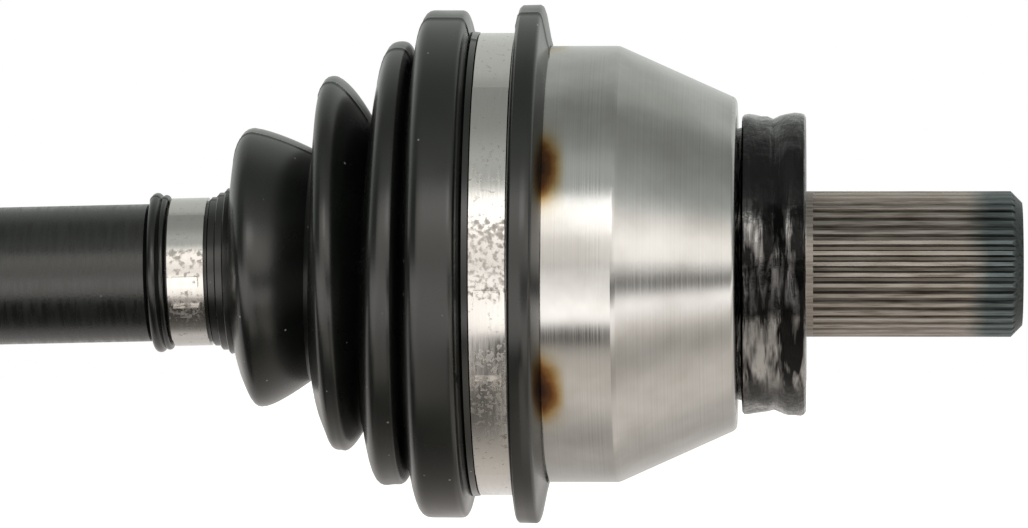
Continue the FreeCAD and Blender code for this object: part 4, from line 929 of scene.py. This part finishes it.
# Each station has its place in millimetres, its lean, and its shift upwards, or None to follow the bar.
FOLD_LEANS = [
    (-146.0, -math.tan(droop), None), (-127.2, -math.tan(droop), None), (-125.2, -0.048, None),
    (-121.5, -0.045, -0.65), (-109.4, 0.02, -0.3), (-108.6, 0.03, 0.0), (-107.0, -0.02, 0.15),
    (-103.8, -0.016, 0.27), (-97.0, 0.035, -2.6), (-95.6, 0.03, -0.6), (-90.8, 0.015, 0.29),
    (-86.9, 0.012, 0.1), (-80.0, 0.004, 0.0), (-74.5, 0.0, 0.0), (-65.6, 0.0, 0.0), (-63.1, 0.008, 0.0),
    (-50.0, 0.008, 0.0),
]


def between(stations, x):
    """The lean and the shift at a place, in line between the stations."""
    for (low, lean_low, shift_low), (high, lean_high, shift_high) in zip(stations, stations[1:]):
        if x <= high:
            share = max(0.0, (x - low) / (high - low))
            return lean_low + (lean_high - lean_low) * share, shift_low + (shift_high - shift_low) * share
    return stations[-1][1:]


def droop_shift(x):
    """How far the bar's axis lies above the bell's at a place, in millimetres."""
    return (x * MM - wheel_centre.x) * math.tan(droop) / MM


boot_outline = collar_outline(bar_clamp_low, bar_clamp_high)
for fold in WHEEL_FOLDS:
    boot_outline += fold.outline()
boot_outline += flange_outline(bell_clamp_low, bell_clamp_high)
wheel_boot = drawn_and_spun("wheel_boot_skin", boot_outline, start_angle=math.radians(PARTING_DEG))
stations = [(x, lean, droop_shift(x) if shift is None else shift) for x, lean, shift in FOLD_LEANS]
for vertex in wheel_boot.data.vertices:
    lean, shift = between(stations, vertex.co.x / MM)
    vertex.co.x += lean * vertex.co.z
    vertex.co.z += shift * MM


# %% [markdown]
# The mould had two halves, and they leave a thin raised line over every fold. It is modelled: the edges
# along that line are bevelled into a narrow strip, and the strip's middle is pulled out a little.

# %% Parting line
LINE_WIDTH = 0.35 * MM
LINE_HEIGHT = 0.16 * MM
PARTING_SLACK_DEG = 0.25


def on_parting(edge):
    """Whether an edge runs along the parting line, at its angle from the top towards the front."""
    for vertex in edge.verts:
        _, shift = between(stations, vertex.co.x / MM)
        turned = math.degrees(math.atan2(-vertex.co.y, vertex.co.z - shift * MM))
        if abs(turned - PARTING_DEG) > PARTING_SLACK_DEG:
            return False
    return True


def raise_parting_line(piece):
    """Bevels the edges that run along the mould's parting and lifts their middle."""
    mesh = piece.data
    work_on(piece)
    bpy.ops.object.mode_set(mode="EDIT")
    shape = bmesh.from_edit_mesh(mesh)
    shape.select_mode = {"EDGE"}
    for edge in shape.edges:
        edge.select = False
    chosen = [edge for edge in shape.edges if on_parting(edge)]
    for edge in chosen:
        edge.select = True
    shape.select_flush_mode()
    bmesh.update_edit_mesh(mesh)
    bpy.ops.mesh.bevel(offset=LINE_WIDTH, offset_type="OFFSET", segments=2, affect="EDGES")
    shape = bmesh.from_edit_mesh(mesh)
    for edge in shape.edges:
        edge.select = edge.select and on_parting(edge)
    shape.select_flush_mode()
    bmesh.update_edit_mesh(mesh)
    bpy.ops.transform.shrink_fatten(value=LINE_HEIGHT)
    bpy.ops.object.mode_set(mode="OBJECT")
    print(piece.name, "has", len(chosen), "edges along the parting")


raise_parting_line(wheel_boot)


# %% [markdown]
# So far the boot is a skin without thickness. Solidify gives it the wall of a moulded boot, inwards, so
# that the outside keeps its size.

# %% The boot's wall
WALL = 1.5 * MM


def give_wall(piece, thickness):
    """Thickens a skin inwards and applies it."""
    work_on(piece)
    wall = piece.modifiers.new("wall", "SOLIDIFY")
    wall.thickness = thickness
    wall.offset = -1
    bpy.ops.object.modifier_apply(modifier=wall.name)


give_wall(wheel_boot, WALL)
wheel_boot.data.materials.append(rubber)
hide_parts("wheel_boot")
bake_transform(wheel_boot)

# %% [markdown]
# ## Grease on the seal ring
# The ring itself is hidden under its grease. Its outline is spun like the boot, with a groove round the
# middle, and then every point is pushed in or out by a noise that is stretched round the ring, as a smear
# is.

# %% Greased ring
RING_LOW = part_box("seal_ring")[0].x / MM
RING_TOP = 33.45
RING_BORE = 26.02
SMEAR_HEIGHT = 0.3
SMEAR_WIDTH, SMEAR_LENGTH = 2.2 * MM, 9 * MM
CLEAN_RADIUS = 31 * MM
RING_MIDDLE = -7.25
ring_outline = [
    (RING_LOW + 0.02, RING_BORE), (RING_LOW + 0.02, 30.0), (RING_LOW + 0.9, 30.25), (-14.25, 30.3),
    (-14.15, 32.7), (-13.7, 33.25), (-12.8, 33.25), (-11.5, 33.0), (-10.0, 32.85), (-8.6, 32.8),
    (-7.8, 32.5), (RING_MIDDLE, 32.3), (-6.7, 32.5), (-6.0, 32.8), (-5.0, 33.2), (-4.0, RING_TOP),
    (-2.6, RING_TOP), (-1.2, RING_TOP - 0.05), (-0.5, RING_TOP - 0.3), (-0.1, RING_TOP - 1.0),
    (-0.05, 30.0), (-0.05, RING_BORE),
]
greased_ring = drawn_and_spun("greased_seal_ring", ring_outline, closed=True)
for vertex in greased_ring.data.vertices:
    radius = math.hypot(vertex.co.y, vertex.co.z)
    if radius < CLEAN_RADIUS:
        continue
    sample = Vector((vertex.co.x / SMEAR_WIDTH, vertex.co.y / SMEAR_LENGTH, vertex.co.z / SMEAR_LENGTH))
    push = 1 + noise.fractal(sample, 1.0, 2.0, 3) * SMEAR_HEIGHT * MM / radius
    vertex.co.y *= push
    vertex.co.z *= push
greased_ring.data.materials.append(grease)
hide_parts("seal_ring")
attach(greased_ring, "bell")

# %% [markdown]
# ## Gearbox boot
# The other boot is a plain cone of folds. The real one follows two motions: the bar tilts inside the housing,
# and the housing slides along. It is made in two parts that meet in a valley: the housing's part and the
# bar's part.

# %% The gearbox boot's folds
MOUTH = 42.93
HOUSING_RADIUS = 38.5
CUFF_WALL = 2.8
CUFF_WIDTH = 14.0
GEARBOX_PITCH = 12.5
FIRST_VALLEY = MOUTH + 4.0
FOLD_COUNT = 4
COLLAR_START = FIRST_VALLEY + FOLD_COUNT * GEARBOX_PITCH
COLLAR_END = COLLAR_START + 15.0
FOLD_LEAD = 0.2
SPLIT = FIRST_VALLEY + (2 - FOLD_LEAD) * GEARBOX_PITCH
SLIDE_END = MOUTH - 2.5
WIDE, NARROW = HOUSING_RADIUS + CUFF_WALL, 15.4
FOLD_HEIGHT = 7.2
COLLAR_RISE = 2.4
CREST_SHARE, CREST_HALF_WIDTH = 0.42, 1.0
VALLEY_GAP = 0.3


def valley_radius(number):
    """The radius of a valley, counted from the housing, on a straight cone down to the collar."""
    return WIDE - number * (WIDE - NARROW - COLLAR_RISE) / FOLD_COUNT


gearbox_folds = []
for number in range(FOLD_COUNT):
    start = FIRST_VALLEY - FOLD_LEAD * GEARBOX_PITCH + number * GEARBOX_PITCH
    foot = valley_radius(number) if number else WIDE - 1.5
    middle = start + CREST_SHARE * GEARBOX_PITCH
    crest = (middle - CREST_HALF_WIDTH, middle + CREST_HALF_WIDTH, valley_radius(number + 1) + FOLD_HEIGHT)
    end = (start + GEARBOX_PITCH - VALLEY_GAP, valley_radius(number + 1))
    gearbox_folds.append(Fold(foot=(start, foot), crest=crest, end=end, rise=2.6, fall=2.6))
print("gearbox boot splits", round(SPLIT, 1), "mm from the joint's centre")

# %% [markdown]
# The housing's part is a cuff under the large clamp and the first two folds. The bar's part is the other
# two folds and a collar that ends in a round bead. Both outlines run from the housing towards the bar.

# %% Outlines of the two parts
cuff_start = MOUTH - CUFF_WIDTH
cuff_outline = [
    (cuff_start, HOUSING_RADIUS + 0.05), (cuff_start, WIDE + 1.3), (cuff_start + 0.5, WIDE + 1.8),
    (cuff_start + 1.4, WIDE + 1.7), (cuff_start + 1.8, WIDE), (MOUTH - 3.0, WIDE - 0.05),
    (MOUTH - 1.0, WIDE - 0.6), (FIRST_VALLEY - 3.0, WIDE - 1.3),
]
housing_part = cuff_outline + gearbox_folds[0].outline() + gearbox_folds[1].outline()
bead_middle = COLLAR_END - 2.0
bar_part = gearbox_folds[2].outline() + gearbox_folds[3].outline() + [
    (COLLAR_START - 0.6, NARROW + 0.9), (COLLAR_START + 0.6, NARROW + 0.1),
    (COLLAR_START + 1.2, NARROW - 0.02), (COLLAR_END - 4.2, NARROW - 0.02)]
bar_part += arc(bead_middle, NARROW + 0.1, 1.9, 180, 0, 12) + [(COLLAR_END - 0.1, NARROW - 2.2)]
print("points:", len(housing_part), "on the housing's part and", len(bar_part), "on the bar's")


# %% [markdown]
# Both parts are drawn about the X axis, where spinning is easy, and then turned and moved to the other
# joint. They meet at the split.

# %% Two parts of the gearbox boot
def to_gearbox(piece):
    """Moves a piece drawn about the X axis, with zero at the gearbox joint's centre, into its place."""
    work_on(piece)
    bpy.ops.transform.rotate(value=droop, orient_axis="Y", center_override=(0, 0, 0))
    bpy.ops.transform.translate(value=gearbox_centre)
    bpy.ops.object.transform_apply(location=True, rotation=True, scale=True)


for name, outline, bodies, start, end in (
        ("gearbox_boot_housing_part", housing_part, ("cassette_1", "tulip"), SPLIT, SLIDE_END),
        ("gearbox_boot_bar_part", bar_part, ("shaft", "cassette_1"), COLLAR_START, SPLIT)):
    skin_piece = drawn_and_spun(name, outline)
    give_wall(skin_piece, WALL)
    to_gearbox(skin_piece)
    skin_piece.data.materials.append(rubber)
    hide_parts("gearbox_boot")
    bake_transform(skin_piece)

# %% Sizes and finish
low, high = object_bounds()
print("bounds", [round(v / MM, 1) for v in low], [round(v / MM, 1) for v in high])
